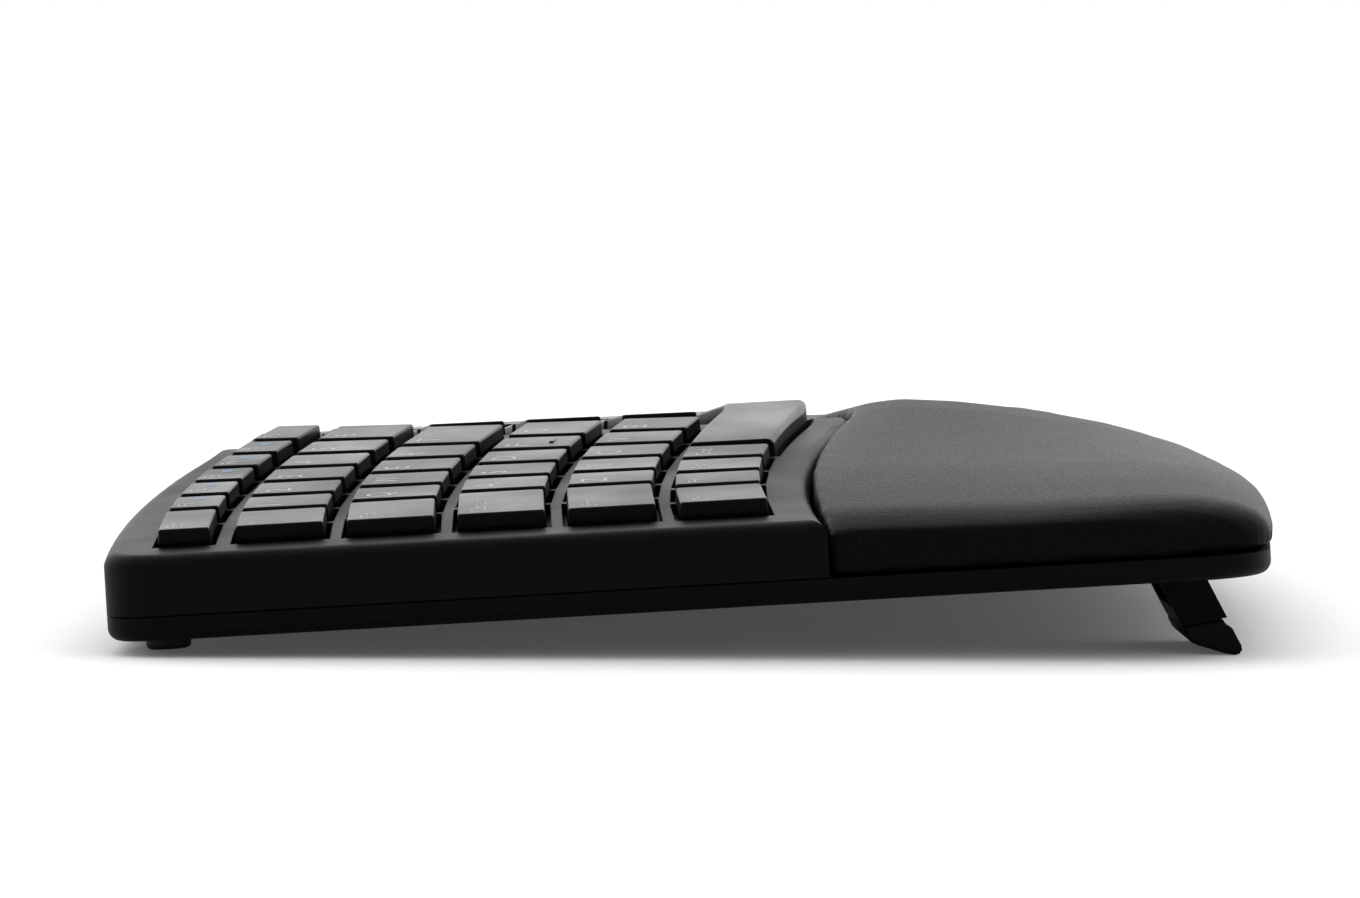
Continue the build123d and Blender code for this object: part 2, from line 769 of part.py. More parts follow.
def top_shell(keys):
    whole = plan_block(rear_edge_offset, -groove_offset, 0, shell_base, deep_cut, front_corner=0)
    outer = whole & deck_band(0, faceted=False)
    rims = [edge for edge in outer.edges() if is_deck_edge(edge)]
    sides = [e for e in rims if (e @ (1 / 2)).Y > arc_y(-groove_offset, (e @ (1 / 2)).X) + overrun]
    outer = outer.fillet(shell_shoulder, sides)
    inner = plan_block(
        rear_edge_offset - shell_wall,
        shell_wall - groove_offset,
        shell_wall,
        -overrun,
        deep_cut,
        corner=corner_radius - shell_wall,
        front_corner=groove_corner_radius,
    )
    shell = outer - (inner & deck_band(shell_wall, faceted=False))
    cuts = [place * key_well(width, depth) for _, place, width, depth in keys]
    rear, front_row, end_x = space_reach()
    gap = well_clearance + key_draft
    cuts.append(extrude(space_plan(rear + gap, front_row - gap, end_x - gap), amount=deep_cut))
    cuts.append(light_place() * Cylinder(light_radius + light_bore_clearance, deep_cut / 4))
    shell -= cuts
    bosses = []
    for x, y in boss_places():
        length = deck_height(x) - tray_height - shell_wall / 2
        boss = Pos(x, y, tray_height + length / 2) * Cylinder(boss_radius, length)
        bosses.append(boss)
    shell += bosses
    bore_radius = screw_radius - screw_bore_clearance
    reach = door_thickness + screw_head_height + screw_length - tray_height + layer_gap
    shell -= [Pos(x, y, tray_height + reach / 2) * Cylinder(bore_radius, reach) for x, y in boss_places()]
    return shell


def is_deck_edge(edge):
    """True for an edge where the deck meets an upright wall."""
    middle = edge @ (1 / 2)
    over = middle.Z - deck_height(middle.X) - deck_fall * middle.Y
    return abs(over) < key_edge and abs((edge % (1 / 2)).Z) < 1 / 2


def key_well(width, depth):
    """Opening in the shell around a key."""
    gap = 2 * (key_draft + well_clearance)
    return Pos(0, 0, key_rise - well_depth) * Box(width + gap, depth + gap, 2 * well_depth)


def light_place():
    x = number_pad_x + number_pad_columns * key_pitch - block_gap
    y = rear_edge_offset - (rear_edge_offset - function_row_offset - function_key_depth / 2) / 2
    return Pos(x, y, deck_height(x) + deck_fall * y)


# Layers under the keys
def layer_block(inset):
    """Block over the key field, drawn in from the shell's walls by inset."""
    return plan_block(
        rear_edge_offset - shell_wall - inset,
        shell_wall + inset - groove_offset,
        shell_wall + inset,
        -overrun,
        deep_cut,
        corner=groove_corner_radius,
        front_corner=groove_corner_radius,
    )


def boss_clearances():
    size = 2 * (boss_radius + boss_clearance)
    return [Pos(x, y, 0) * Box(size, size, 2 * deep_cut) for x, y in boss_places()]


def all_stems(keys):
    """Places of all stems, each as a location on the deck."""
    places = []
    for _, place, width, depth in keys:
        places += [place * Pos(x, y, 0) for x, y in stem_places(width, depth)]
    places += [key_place(x, y, 0) for x, y in space_stem_places()]
    return places


def key_guide(keys):
    """Guide plate with a rim that meets the shell and a sleeve for every stem."""
    plate = layer_block(guide_inset) & deck_band(shell_wall + layer_gap, guide_depth + guide_thickness)
    plate -= layer_block(guide_inset + guide_rim) & deck_band(0, guide_depth)
    hole = key_stem + 2 * guide_bore_clearance
    sleeve_size = hole + 2 * sleeve_wall
    sleeves = []
    holes = []
    for place in all_stems(keys):
        height = sleeve_rise + guide_thickness / 2
        low = -guide_depth - guide_thickness / 2
        sleeves.append(place * Pos(0, 0, low + height / 2) * Box(sleeve_size, sleeve_size, height))
        holes.append(place * Pos(0, 0, -guide_depth) * Box(hole, hole, deep_cut / 4))
    holes.append(light_place() * Cylinder(light_radius + switch_flange, deep_cut))
    plate += sleeves
    plate -= holes + boss_clearances()
    return plate


def dome_mat(keys):
    """Rubber sheet with a dome under every stem."""
    sheet = layer_block(stack_inset) & deck_band(mat_depth, circuit_depth)
    domes = []
    rooms = []
    for place in all_stems(keys):
        low = place * Pos(0, 0, -mat_depth - mat_thickness / 2)
        height = dome_height + mat_thickness / 2
        domes.append(low * Pos(0, 0, height / 2) * Cone(dome_base_radius, dome_top_radius, height))
        room_height = height - 2 * dome_wall
        room = Cone(dome_base_radius - dome_wall, dome_top_radius - dome_wall, room_height)
        rooms.append(low * Pos(0, 0, room_height / 2) * room)
    sheet += domes
    sheet -= rooms
    return sheet


def layer(top_depth, bottom_depth):
    """Plain layer between two depths under the deck."""
    return layer_block(stack_inset) & deck_band(top_depth, bottom_depth)


# Small parts inside
def controller_board():
    board = Pos(0, 0, board_thickness / 2) * Box(board_length, board_width, board_thickness)
    chip = Box(chip_size, chip_size, chip_height)
    board += Pos(-chip_size, 0, board_thickness + chip_height / 2) * chip
    radio = Box(chip_size * 3 / 2, chip_size, chip_height)
    board += Pos(board_length / 3, chip_size / 2, board_thickness + chip_height / 2) * radio
    connector = Box(connector_length, connector_width, connector_height)
    y = board_width / 2 - connector_width
    board += Pos(-chip_size, y, board_thickness + connector_height / 2) * connector
    return Pos(switch_x, board_y, board_height) * board


def battery_cells():
    """Two cells side by side, facing opposite ways, as (node, solid)."""
    cells = []
    for index, (x, y) in enumerate(cell_places()):
        body = Pos(0, 0, -cell_cap_length / 2) * Cylinder(cell_radius, cell_length)
        cap = Pos(0, 0, cell_length / 2) * Cylinder(cell_cap_radius, cell_cap_length)
        facing = 90 if index else -90
        cell = Pos(x, y, cell_axis_height) * Rot(0, facing, 0) * (body + cap)
        cells.append(("battery_cell_%s" % ("rear" if index else "front"), cell))
    return cells


def battery_contacts():
    """Sprung metal strips at both ends of each cell."""
    strips = []
    for x, y in cell_places():
        for side in (-1, 1):
            wall_x = x + side * (bay_length / 2 - contact_thickness / 2)
            plate = Pos(wall_x, y, cell_axis_height) * Box(contact_thickness, contact_width, contact_height)
            tongue_x = contact_space - contact_thickness / 2 - layer_gap
            reach = tongue_x / 2
            tongue = Pos(wall_x - side * reach, y, cell_axis_height)
            tongue_width = contact_width / 4
            strips.append(plate + tongue * Box(tongue_x, tongue_width, contact_thickness))
    return Compound(children=strips)


def battery_door():
    """Sliding cover flush with the underside of the tray."""
    length = door_length
    width = bay_width - 2 * door_clearance
    door = Pos(0, 0, door_thickness / 2) * Box(length, width, door_thickness)
    grip = Box(door_grip_width, width / 2, 2 * door_grip_depth)
    door -= [Pos(-length / 3 + step * 2 * door_grip_width, 0, 0) * grip for step in range(4)]
    return Pos(ridge_x, bay_y, 0) * door


def power_switch():
    """Sliding knob in the floor of the tray."""
    flange = Box(switch_slot_length + 2 * switch_flange, switch_slot_width + 2 * switch_flange, switch_flange)
    knob_length = switch_slot_length - switch_travel - 2 * switch_clearance
    knob_width = switch_slot_width - 2 * switch_clearance
    knob_height = tray_floor + switch_clearance
    knob = Box(knob_length, knob_width, knob_height)
    shift = -switch_travel / 2
    body = Pos(0, 0, tray_floor + switch_clearance + switch_flange / 2) * flange
    body += Pos(0, 0, knob_height / 2) * knob
    return Pos(switch_x + shift, board_y, 0) * body


def status_light():
    x_place = light_place()
    flange = Cylinder(light_radius + switch_flange / 2, switch_flange)
    pin = Pos(0, 0, -light_length / 2) * Cylinder(light_radius, light_length)
    return x_place * (pin + Pos(0, 0, -light_length) * flange)


def case_screws():
    screws = []
    for x, y in boss_places():
        low = door_thickness
        head = Pos(x, y, low + screw_head_height / 2) * Cylinder(screw_head_radius, screw_head_height)
        bore = screw_radius - screw_bore_clearance
        shank = Pos(x, y, low + screw_head_height + screw_length / 2) * Cylinder(bore, screw_length)
        screws.append(head + shank)
    return screws


# Feet
def foot(x, y, height):
    solid = Cylinder(foot_radius, height)
    solid = solid.fillet(foot_round, solid.edges().sort_by(Axis.Z)[:1])
    return Pos(x, y, -height / 2) * solid


def feet(inset, y, height):
    return [foot(case_left + inset, y, height), foot(case_right - inset, y, height)]


# Palm rest
def palm_face(inset):
    """Plan of the palm rest in front of the groove."""
    whole = case_face(-groove_offset - inset, inset, groove_corner_radius, palm_corner_radius - inset)
    return whole


def palm_rest_plate():
    plate = extrude(palm_face(palm_plate_inset), amount=palm_plate_thickness)
    plate = Pos(0, 0, tray_height + cushion_seam) * plate
    top = leg_axis_height + leg_depth + bay_roof
    plate -= [leg_bay(x, leg_bay_clearance, bay_wall + leg_bay_clearance, 0, top) for x in leg_places()]
    return plate


def cushion_section(x, rear_y, front_y, height, crest_share, pinch):
    """Closed profile of the cushion across its depth, at x."""
    base = tray_height + cushion_seam
    depth = rear_y - front_y
    points = []
    for depth_share, edge_height_share, crest_height_share in cushion_profile_shares:
        height_share = edge_height_share + (crest_height_share - edge_height_share) * crest_share
        points.append((x, rear_y - depth_share * depth, base + height_share * height))
    points.append((x, front_y + pinch, base))
    points.append((x, rear_y, base))
    return Wire.make_polygon(points, close=True)


def palm_cushion():
    """Padded rest with a crown, drawn in at its foot."""
    front = Spline(*palm_front(0))
    low_deck = deck_height(case_left)
    ends = (0, 1 / 4, 1 / 2, 3 / 4, 1)
    near_left = [case_left + cushion_inset + share * palm_corner_radius for share in ends]
    near_right = [case_right - cushion_inset - share * palm_corner_radius for share in reversed(ends)]
    span = near_right[0] - near_left[-1]
    spread = [near_left[-1] + span * step / cushion_stations for step in range(1, cushion_stations)]
    stations = []
    for x in sorted(near_left + spread + [ridge_x] + near_right):
        near = min(x - near_left[0], near_right[-1] - x)
        missing = max(0, palm_corner_radius - near)
        rounding = palm_corner_radius - sqrt(palm_corner_radius ** 2 - missing ** 2)
        front_y = front_at(front, x) + cushion_inset + rounding
        rear_y = valley_y(-groove_offset - cushion_groove, x)
        swell = 1 - missing / palm_corner_radius
        crest_share = max(0, (deck_height(x) - low_deck) / (deck_height(ridge_x) - low_deck))
        rise = cushion_rise + cushion_crown * crest_share
        sag = cushion_sag * (1 - swell) ** 2
        height = deck_height(x) - tray_height - cushion_seam + rise - sag
        stations.append(cushion_section(x, rear_y, front_y, height, crest_share, cushion_pinch))
    solid = Solid.make_loft(stations, True)
    plate_room = extrude(palm_face(palm_plate_inset - cushion_groove), amount=palm_plate_thickness + seam_gap)
    solid -= Pos(0, 0, tray_height + cushion_seam) * plate_room
    top = leg_axis_height + leg_depth / 2 + 2 * leg_bay_clearance + bay_roof
    solid -= [leg_bay(x, leg_bay_clearance, bay_wall + leg_bay_clearance, 0, top) for x in leg_places()]
    return solid


def front_at(curve, x):
    """Y of the front edge at x."""
    cut = curve.intersect(Line((x, 2 * palm_ridge_y), (x, palm_right_y / 2)))
    points = cut.vertices() if hasattr(cut, "vertices") else [cut]
    return points[0].Y


# Legs, drawn along their own axis and then leaned forward
def leg_frame(x):
    """Location of a leg: origin on its hinge, Z up along the leg and Y square to it."""
    return Pos(x, leg_axis_y, leg_axis_height) * Rot(-leg_lean, 0, 0)


def leg_profile(points):
    """Face in the leg's YZ plane."""
    return Face(Wire.make_polygon([(0, y, z) for y, z in points], close=True))


def leg(x):
    half = leg_depth / 2
    tip_line = leg_heel - leg_tip_height / 2
    outline = leg_profile([(-half, 0), (half, 0), (half, -tip_line), (-half, -leg_heel)])
    body = extrude(outline, amount=leg_width, dir=Vector(1, 0, 0))
    body += Rot(0, 90, 0) * Pos(0, 0, leg_width / 2) * Cylinder(half, leg_width)
    pocket_width = leg_width - 2 * leg_cheek
    pocket_height = leg_heel - 2 * half
    pocket = Box(pocket_width, leg_depth, pocket_height)
    body -= Pos(leg_width / 2, leg_front_wall, -half - pocket_height / 2 + half / 2) * pocket
    for share in (1, 2):
        web_x = leg_width * share / 3
        web = Box(leg_web, leg_depth - leg_front_wall, pocket_height)
        body += Pos(web_x, leg_front_wall / 2 - half / 4, -half - pocket_height / 2 + half / 2) * web
    pin_length = leg_width + 2 * leg_pin_length
    body += Rot(0, 90, 0) * Pos(0, 0, leg_width / 2) * Cylinder(leg_pin_radius, pin_length)
    return leg_frame(x) * body


def leg_tip(x):
    half = leg_depth / 2
    tip_line = leg_heel - leg_tip_height / 2
    outline = leg_profile(
        [
            (-half, -leg_heel),
            (half, -tip_line),
            (half, -leg_heel - leg_tip_round),
            (0, -leg_length + leg_tip_round),
            (-half + leg_tip_round, -leg_length),
            (-half, -leg_length + leg_tip_round),
        ]
    )
    tip = extrude(outline, amount=leg_width, dir=Vector(1, 0, 0))
    return leg_frame(x) * tip


# Assembly
def build_parts():
    keys = all_keys()
    parts = {
        "bottom_tray": bottom_tray(),
        "top_shell": top_shell(keys),
        "palm_rest_plate": palm_rest_plate(),
        "palm_cushion": palm_cushion(),
        "controller_board": controller_board(),
        "battery_contacts": battery_contacts(),
        "battery_door": battery_door(),
        "power_switch": power_switch(),
        "status_light": status_light(),
        "case_screws": Compound(children=case_screws()),
        "rear_feet": Compound(children=feet(foot_inset, foot_row_offset, foot_height)),
        "front_feet": Compound(children=feet(front_foot_inset, -front_foot_offset, front_foot_height)),
        "space_bar": space_bar(),
        "key_guide": key_guide(keys),
        "dome_mat": dome_mat(keys),
        "membrane": layer(circuit_depth, backing_depth),
        "backing_plate": layer(backing_depth, stack_depth),
    }
    parts.update(battery_cells())
    for x, word in zip(leg_places(), ("left", "right")):
        parts["leg_" + word] = leg(x)
        parts["leg_tip_" + word] = leg_tip(x)
    groups = {}
    caps = {}
    for index, (node, place, width, depth) in enumerate(keys):
        size = (round(width, 3), round(depth, 3))
        if size not in caps:
            caps[size] = keycap(width, depth)
        cap = caps[size]
        if index in homing_indexes(keys):
            cap = cap + homing_bar(depth)
        groups.setdefault(node, []).append(place * cap)
    for node, solids in groups.items():
        parts[node] = solids[0] if len(solids) == 1 else Compound(children=solids)
    return parts


def homing_indexes(keys):
    """The two home keys that carry a raised bar: the fourth of the left bank, the first of the right."""
    left = [index for index, key in enumerate(keys) if key[0] == "home_keys_left"]
    right = [index for index, key in enumerate(keys) if key[0] == "home_keys_right"]
    return left[3], right[0]


def on_its_feet():
    """Location that lifts the front edge, so that the keyboard stands on its rear feet and its legs."""
    return Rot(-tilt_angle, 0, 0)


def main():
    os.makedirs("parts", exist_ok=True)
    tilt = on_its_feet()
    parts = {node: tilt * part for node, part in build_parts().items()}
    box = Compound([solid for part in parts.values() for solid in part.solids()]).bounding_box()
    shift = Pos(-(box.min.X + box.max.X) / 2, -(box.min.Y + box.max.Y) / 2, -box.min.Z)
    for node, part in parts.items():
        export_step(shift * part, "parts/" + node + ".step")
    print(len(parts), "nodes", box.size)


if __name__ == "__main__":
    main()
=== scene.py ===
import json
import math

import bmesh
import bpy
from bpy.props import FloatProperty, FloatVectorProperty, IntProperty, PointerProperty
from mathutils import Matrix, Vector


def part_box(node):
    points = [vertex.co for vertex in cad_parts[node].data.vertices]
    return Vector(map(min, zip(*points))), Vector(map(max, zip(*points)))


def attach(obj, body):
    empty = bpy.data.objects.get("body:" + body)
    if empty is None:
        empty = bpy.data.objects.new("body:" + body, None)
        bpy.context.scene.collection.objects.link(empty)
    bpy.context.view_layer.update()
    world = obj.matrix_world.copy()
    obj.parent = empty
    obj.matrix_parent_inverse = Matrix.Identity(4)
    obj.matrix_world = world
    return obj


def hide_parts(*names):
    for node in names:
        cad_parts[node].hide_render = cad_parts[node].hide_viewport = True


bl_info = {
    "name": "Split Keyboard",
    "version": (1, 0, 0),
    "blender": (4, 5, 0),
    "location": "View3D > Sidebar > Keyboard",
    "description": "Dresses the framed keyboard: keycaps, legends, case, palm rest and stage",
    "category": "Object",
}

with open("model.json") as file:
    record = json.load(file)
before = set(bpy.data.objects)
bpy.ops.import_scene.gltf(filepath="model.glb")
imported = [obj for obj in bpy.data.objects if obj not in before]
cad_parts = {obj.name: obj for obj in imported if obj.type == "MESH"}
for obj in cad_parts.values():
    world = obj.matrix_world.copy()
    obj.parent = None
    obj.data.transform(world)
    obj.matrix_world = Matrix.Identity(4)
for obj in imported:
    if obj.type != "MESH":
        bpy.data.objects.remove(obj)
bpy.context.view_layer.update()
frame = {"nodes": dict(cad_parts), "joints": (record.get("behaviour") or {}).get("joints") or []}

# Camera that took the photograph: frame and focal length in pixels, sensor in millimetres,
# place and clip range in metres, turns in radians
PHOTO_WIDTH = 1360
FOCAL_PIXELS = 5495.1
SENSOR_WIDTH = 36.0
CAMERA_PLACE = (-1.158455, 0.013124, 0.080453)
CAMERA_YAW = -0.00711
CAMERA_PITCH = 0.04793
CAMERA_ROLL = -0.00463
CLIP_RANGE = (0.01, 50.0)

# Half width of the floor, and the soft box beyond the keyboard, in metres
FLOOR_REACH = 12.0
FAR_BOX_PLACE = (1.6, 0.2, 0.9)
FAR_BOX_SIZE = (1.8, 0.9)

# Lean of the standing case
CASE_TILT = math.radians(3.55)

MILLIMETRE = 0.001
QUARTER_TURN = math.radians(90)

# Limits used while meshes are read: vertices that merge, faces in one plane, edges too flat to
# keep, and the least upward part of a top face's normal
MERGE_DISTANCE = 1e-6
PLANE_STEP = 2e-5
DISSOLVE_ANGLE = math.radians(0.5)
LEAST_UPWARD = 0.9

# Keys by CAD node, each row listed from the left
LEGENDS = {
    "escape_key": [["Esc"]],
    "function_keys_left": [["F1", "F2", "F3", "F4", "F5", "F6"]],
    "grave_key": [["`"]],
    "number_keys_left": [["1", "2", "3", "4", "5", "6"]],
    "tab_key": [["Tab"]],
    "upper_keys_left": [["Q", "W", "E", "R"]],
    "t_key": [["T"]],
    "caps_lock_key": [["Caps Lock"]],
    "home_keys_left": [["A", "S", "D", "F"]],
    "g_key": [["G"]],
    "shift_key_left": [["Shift"]],
    "lower_keys_left": [["Z", "X", "C", "V", "B"]],
    "control_key_left": [["Ctrl"]],
    "bottom_keys_left": [["Fn", "Alt", "Cmd"]],
    "function_keys_right": [["F7", "F8", "F9", "F10", "F11", "F12", "PrtSc", "Lock"]],
    "number_keys_right": [["7", "8", "9", "0", "-", "="]],
    "backspace_key": [["Back"]],
    "y_key": [["Y"]],
    "upper_keys_right": [["U", "I", "O", "P", "[", "]"]],
    "backslash_key": [["\\"]],
    "h_key": [["H"]],
    "home_keys_right": [["J", "K", "L", ";", "'"]],
    "enter_key": [["Enter"]],
    "n_key": [["N"]],
    "lower_keys_right": [["M", ",", ".", "/"]],
    "shift_key_right": [["Shift"]],
    "bottom_keys_right": [["Alt", "Fn", "Menu"]],
    "control_key_right": [["Ctrl"]],
    "navigation_keys": [["Pause", "Calc", "Mute"], ["Ins", "Home", "PgUp"], ["Del", "End", "PgDn"]],
    "arrow_keys": [["up"], ["left", "down", "right"]],
    "number_pad_keys": [
        ["Vol-", "Vol+", "Prev", "Next"],
        ["Num", "/", "*", "-"],
        ["7", "8", "9"],
        ["4", "5", "6"],
        ["1", "2", "3"],
        ["."],
    ],
    "number_pad_plus_key": [["+"]],
    "number_pad_enter_key": [["Enter"]],
    "number_pad_zero_key": [["0"]],
}
ARROW_TURNS = {"up": 0.0, "left": 90.0, "down": 180.0, "right": -90.0}
ARROW_OUTLINE_SHARES = (
    (0, 0.5), (0.42, 0.02), (0.14, 0.02), (0.14, -0.5), (-0.14, -0.5), (-0.14, 0.02), (-0.42, 0.02),
)

# Height of a capital as a share of its font size; second mark as shares of a word's height
CAPITAL_SHARE = 0.69
MARKED_KEYS = ("F1", "F2", "F3", "F4", "F5")
MARK_DEPTH_SHARE = 0.7
MARK_CORNER_SHARE = 0.2

# Rise and inset of each level of a homing bar, as shares of its rise and width
HOMING_LEVEL_SHARES = ((-1.0, 0.0), (0.5, 0.0), (0.85, 0.12), (1.0, 0.3))
HOMING_CORNER_SHARE = 0.45

# Grain size and grain depth in metres
KEYCAP_GRAIN = (0.00022, 0.000016)
SHELL_GRAIN = (0.0003, 0.000014)
TRAY_GRAIN = (0.0004, 0.00003)

# Finishes: roughness, grain size, grain depth, and the reach of the uneven sheen where it is given
INK_FINISH = (0.5, 0.0003, 0.000003)
FOOT_FINISH = (0.7, 0.0003, 0.00002, 0.05)
BOOT_FINISH = (0.55, 0.0003, 0.00002, 0.05)

# Small parts: colour, roughness, grain size, grain depth and the nodes that have the finish
SMALL_PARTS = {
    "dome_rubber": ((0.42, 0.43, 0.43), 0.55, 0.0005, 0.00001, ["dome_mat"]),
    "circuit_film": ((0.5, 0.53, 0.53), 0.25, 0.0008, 0.000004, ["membrane"]),
    "cell_jacket": (
        (0.03, 0.05, 0.07),
        0.3,
        0.0006,
        0.000005,
        ["battery_cell_front", "battery_cell_rear"],
    ),
    "light_pipe": ((0.4, 0.42, 0.4), 0.2, 0.0006, 0.000002, ["status_light"]),
}
STEEL_COLOUR = (0.5, 0.5, 0.5)
STEEL_ROUGHNESS = 0.35

# Side outline of a leg's boot in millimetres, to the rear and up along the leg from its hinge
TIP_OUTLINE = (
    (-3.2, -14.5), (-2.75, -15.2), (-3.1, -15.7), (-3.7, -16.2), (-3.7, -20.3), (-3.2, -20.95),
    (-2.4, -21.05), (-0.6, -19.8), (3.2, -16.1), (3.85, -15.1), (3.9, -12.9), (3.5, -12.3),
)


class KeySettings(bpy.types.PropertyGroup):
    corner: FloatProperty(
        name="Corner radius",
        description="Radius of a keycap's upright corners",
        default=0.0008,
        unit="LENGTH",
    )
    edge: FloatProperty(
        name="Edge radius",
        description="Radius around a keycap's top face",
        default=0.00045,
        unit="LENGTH",
    )
    chamfer: FloatProperty(
        name="Frame edge",
        description="Chamfer of the framed keycap's top edge",
        default=0.0003,
        unit="LENGTH",
    )
    height: FloatProperty(
        name="Height",
        description="Height of a keycap from its skirt to its top face",
        default=0.0043,
        unit="LENGTH",
    )
    flare: FloatProperty(
        name="Flare",
        description="Growth of a keycap's side from top to skirt",
        default=0.0002,
        unit="LENGTH",
    )
    rounding_steps: IntProperty(
        name="Rounding steps",
        description="Facets in each rounded edge and corner",
        default=5,
        min=2,
    )
    colour: FloatVectorProperty(
        name="Colour",
        description="Colour of the keycaps",
        subtype="COLOR",
        default=(0.0026, 0.0025, 0.0028),
    )
    roughness: FloatProperty(
        name="Roughness",
        description="Roughness of the keycaps' tops",
        default=0.36,
        min=0.0,
        max=1.0,
    )
    bar_edge: FloatProperty(
        name="Space bar edge",
        description="Rounding of the space bar's edges",
        default=0.0004,
        unit="LENGTH",
    )
    bar_angle: FloatProperty(
        name="Space bar edge angle",
        description="Least angle between faces at a rounded edge of the space bar",
        default=0.35,
        subtype="ANGLE",
        unit="ROTATION",
    )
    stem_cut: FloatProperty(
        name="Stem room",
        description="Length left free under the space bar's stems for its press",
        default=0.003,
        unit="LENGTH",
    )
    legend_colour: FloatVectorProperty(
        name="Legend colour",
        description="Colour of the printed legends",
        subtype="COLOR",
        default=(0.36, 0.365, 0.37),
    )
    blue_colour: FloatVectorProperty(
        name="Second legend colour",
        description="Colour of the second marks on the function keys",
        subtype="COLOR",
        default=(0.13, 0.2, 0.31),
    )
    legend_size: FloatProperty(
        name="Legend size",
        description="Height of a single letter",
        default=0.0046,
        unit="LENGTH",
    )
    word_size: FloatProperty(
        name="Word size",
        description="Letter height of a word",
        default=0.0028,
        unit="LENGTH",
    )
    legend_inset: FloatProperty(
        name="Legend inset",
        description="Gap from a keycap's edge to its legend",
        default=0.0019,
        unit="LENGTH",
    )
    legend_lift: FloatProperty(
        name="Print thickness",
        description="Thickness of the print on a keycap",
        default=0.00002,
        unit="LENGTH",
    )


class CaseSettings(bpy.types.PropertyGroup):
    shell_colour: FloatVectorProperty(
        name="Shell colour",
        description="Colour of the upper shell",
        subtype="COLOR",
        default=(0.0014, 0.0012, 0.0016),
    )
    shell_roughness: FloatProperty(
        name="Shell roughness",
        description="Roughness of the upper shell",
        default=0.52,
        min=0.0,
        max=1.0,
    )
    tray_colour: FloatVectorProperty(
        name="Tray colour",
        description="Colour of the bottom tray and legs",
        subtype="COLOR",
        default=(0.0015, 0.0014, 0.0017),
    )
    tray_roughness: FloatProperty(
        name="Tray roughness",
        description="Roughness of the bottom tray",
        default=0.48,
        min=0.0,
        max=1.0,
    )
    tip_edge: FloatProperty(
        name="Boot edge",
        description="Rounding of a leg boot's edges",
        default=0.00028,
        unit="LENGTH",
    )
    rubber_colour: FloatVectorProperty(
        name="Rubber colour",
        description="Colour of the feet",
        subtype="COLOR",
        default=(0.012, 0.012, 0.012),
    )


class CushionSettings(bpy.types.PropertyGroup):
    end_fall: FloatProperty(
        name="End fall",
        description="Share of its height that the cushion loses towards each end",
        default=0.2,
        min=0.0,
        max=1.0,
    )
    end_reach: FloatProperty(
        name="End reach",
        description="Length over which the cushion falls to an end",
        default=0.06,
        unit="LENGTH",
    )
    front_swell: FloatProperty(
        name="Front swell",
        description="Share of its height that the cushion gains at its front",
        default=0.2,
        min=0.0,
        max=1.0,
    )
    front_reach: FloatProperty(
        name="Front reach",
        description="Depth of the swollen front",
        default=0.045,
        unit="LENGTH",
    )
    overhang: FloatProperty(
        name="Overhang",
        description="Reach of the padding beyond the framed front edge",
        default=0.0014,
        unit="LENGTH",
    )
    voxel: FloatProperty(
        name="Voxel",
        description="Size of the voxels that round the cushion",
        default=0.001,
        unit="LENGTH",
    )
    smooth_steps: IntProperty(
        name="Smoothing",
        description="Smoothing passes over the cushion",
        default=9,
        min=0,
    )
    colour: FloatVectorProperty(
        name="Colour",
        description="Colour of the leatherette",
        subtype="COLOR",
        default=(0.0042, 0.004, 0.0044),
    )
    roughness: FloatProperty(
        name="Roughness",
        description="Roughness of the leatherette",
        default=0.42,
        min=0.0,
        max=1.0,
    )
    grain: FloatProperty(
        name="Grain",
        description="Size of the leatherette's grain",
        default=0.0011,
        unit="LENGTH",
    )


class StageSettings(bpy.types.PropertyGroup):
    floor_colour: FloatVectorProperty(
        name="Floor colour",
        description="Colour of the floor and backdrop",
        subtype="COLOR",
        default=(0.9, 0.9, 0.9),
    )
    floor_glow: FloatProperty(
        name="Floor glow",
        description="Light that the floor paper passes on from below",
        default=0.06,
        min=0.0,
    )
    backdrop_strength: FloatProperty(
        name="Backdrop",
        description="Brightness of the backdrop",
        default=1.0,
        min=0.0,
    )
    near_strength: FloatProperty(
        name="Near light",
        description="Strength of the room's light from the left",
        default=0.5,
        min=0.0,
    )
    far_strength: FloatProperty(
        name="Far room light",
        description="Strength of the room's light from the right",
        default=2.4,
        min=0.0,
    )
    room_fall: FloatProperty(
        name="Room falloff",
        description="Power by which the room's light falls from right to left",
        default=2.0,
        min=0.0,
    )
    ceiling_strength: FloatProperty(
        name="Ceiling light",
        description="Strength of the wide light overhead",
        default=0.5,
        min=0.0,
    )
    ceiling_spread: FloatProperty(
        name="Ceiling spread",
        description="Width of the overhead light as seen from below",
        default=1.6,
        subtype="ANGLE",
        unit="ROTATION",
    )
    ceiling_lean: FloatVectorProperty(
        name="Ceiling lean",
        description="Turn of the overhead light",
        default=(-0.15, -0.45, 0.0),
        subtype="EULER",
        unit="ROTATION",
    )
    rear_light: FloatProperty(
        name="Far light",
        description="Power of the soft box beyond the keyboard",
        default=2.0,
        min=0.0,
        unit="POWER",
    )


# Materials
def new_material(name):
    """Empty node material and its principled shader."""
    material = bpy.data.materials.new(name)
    material.use_nodes = True
    nodes = material.node_tree.nodes
    shader = next(node for node in nodes if node.type == "BSDF_PRINCIPLED")
    return material, nodes, material.node_tree.links, shader


def object_coordinates(nodes, links, scale):
    """Mapping of object coordinates by a scale for each axis."""
    source = nodes.new("ShaderNodeTexCoord")
    mapping = nodes.new("ShaderNodeMapping")
    mapping.inputs["Scale"].default_value = scale
    links.new(source.outputs["Object"], mapping.inputs["Vector"])
    return mapping.outputs["Vector"]


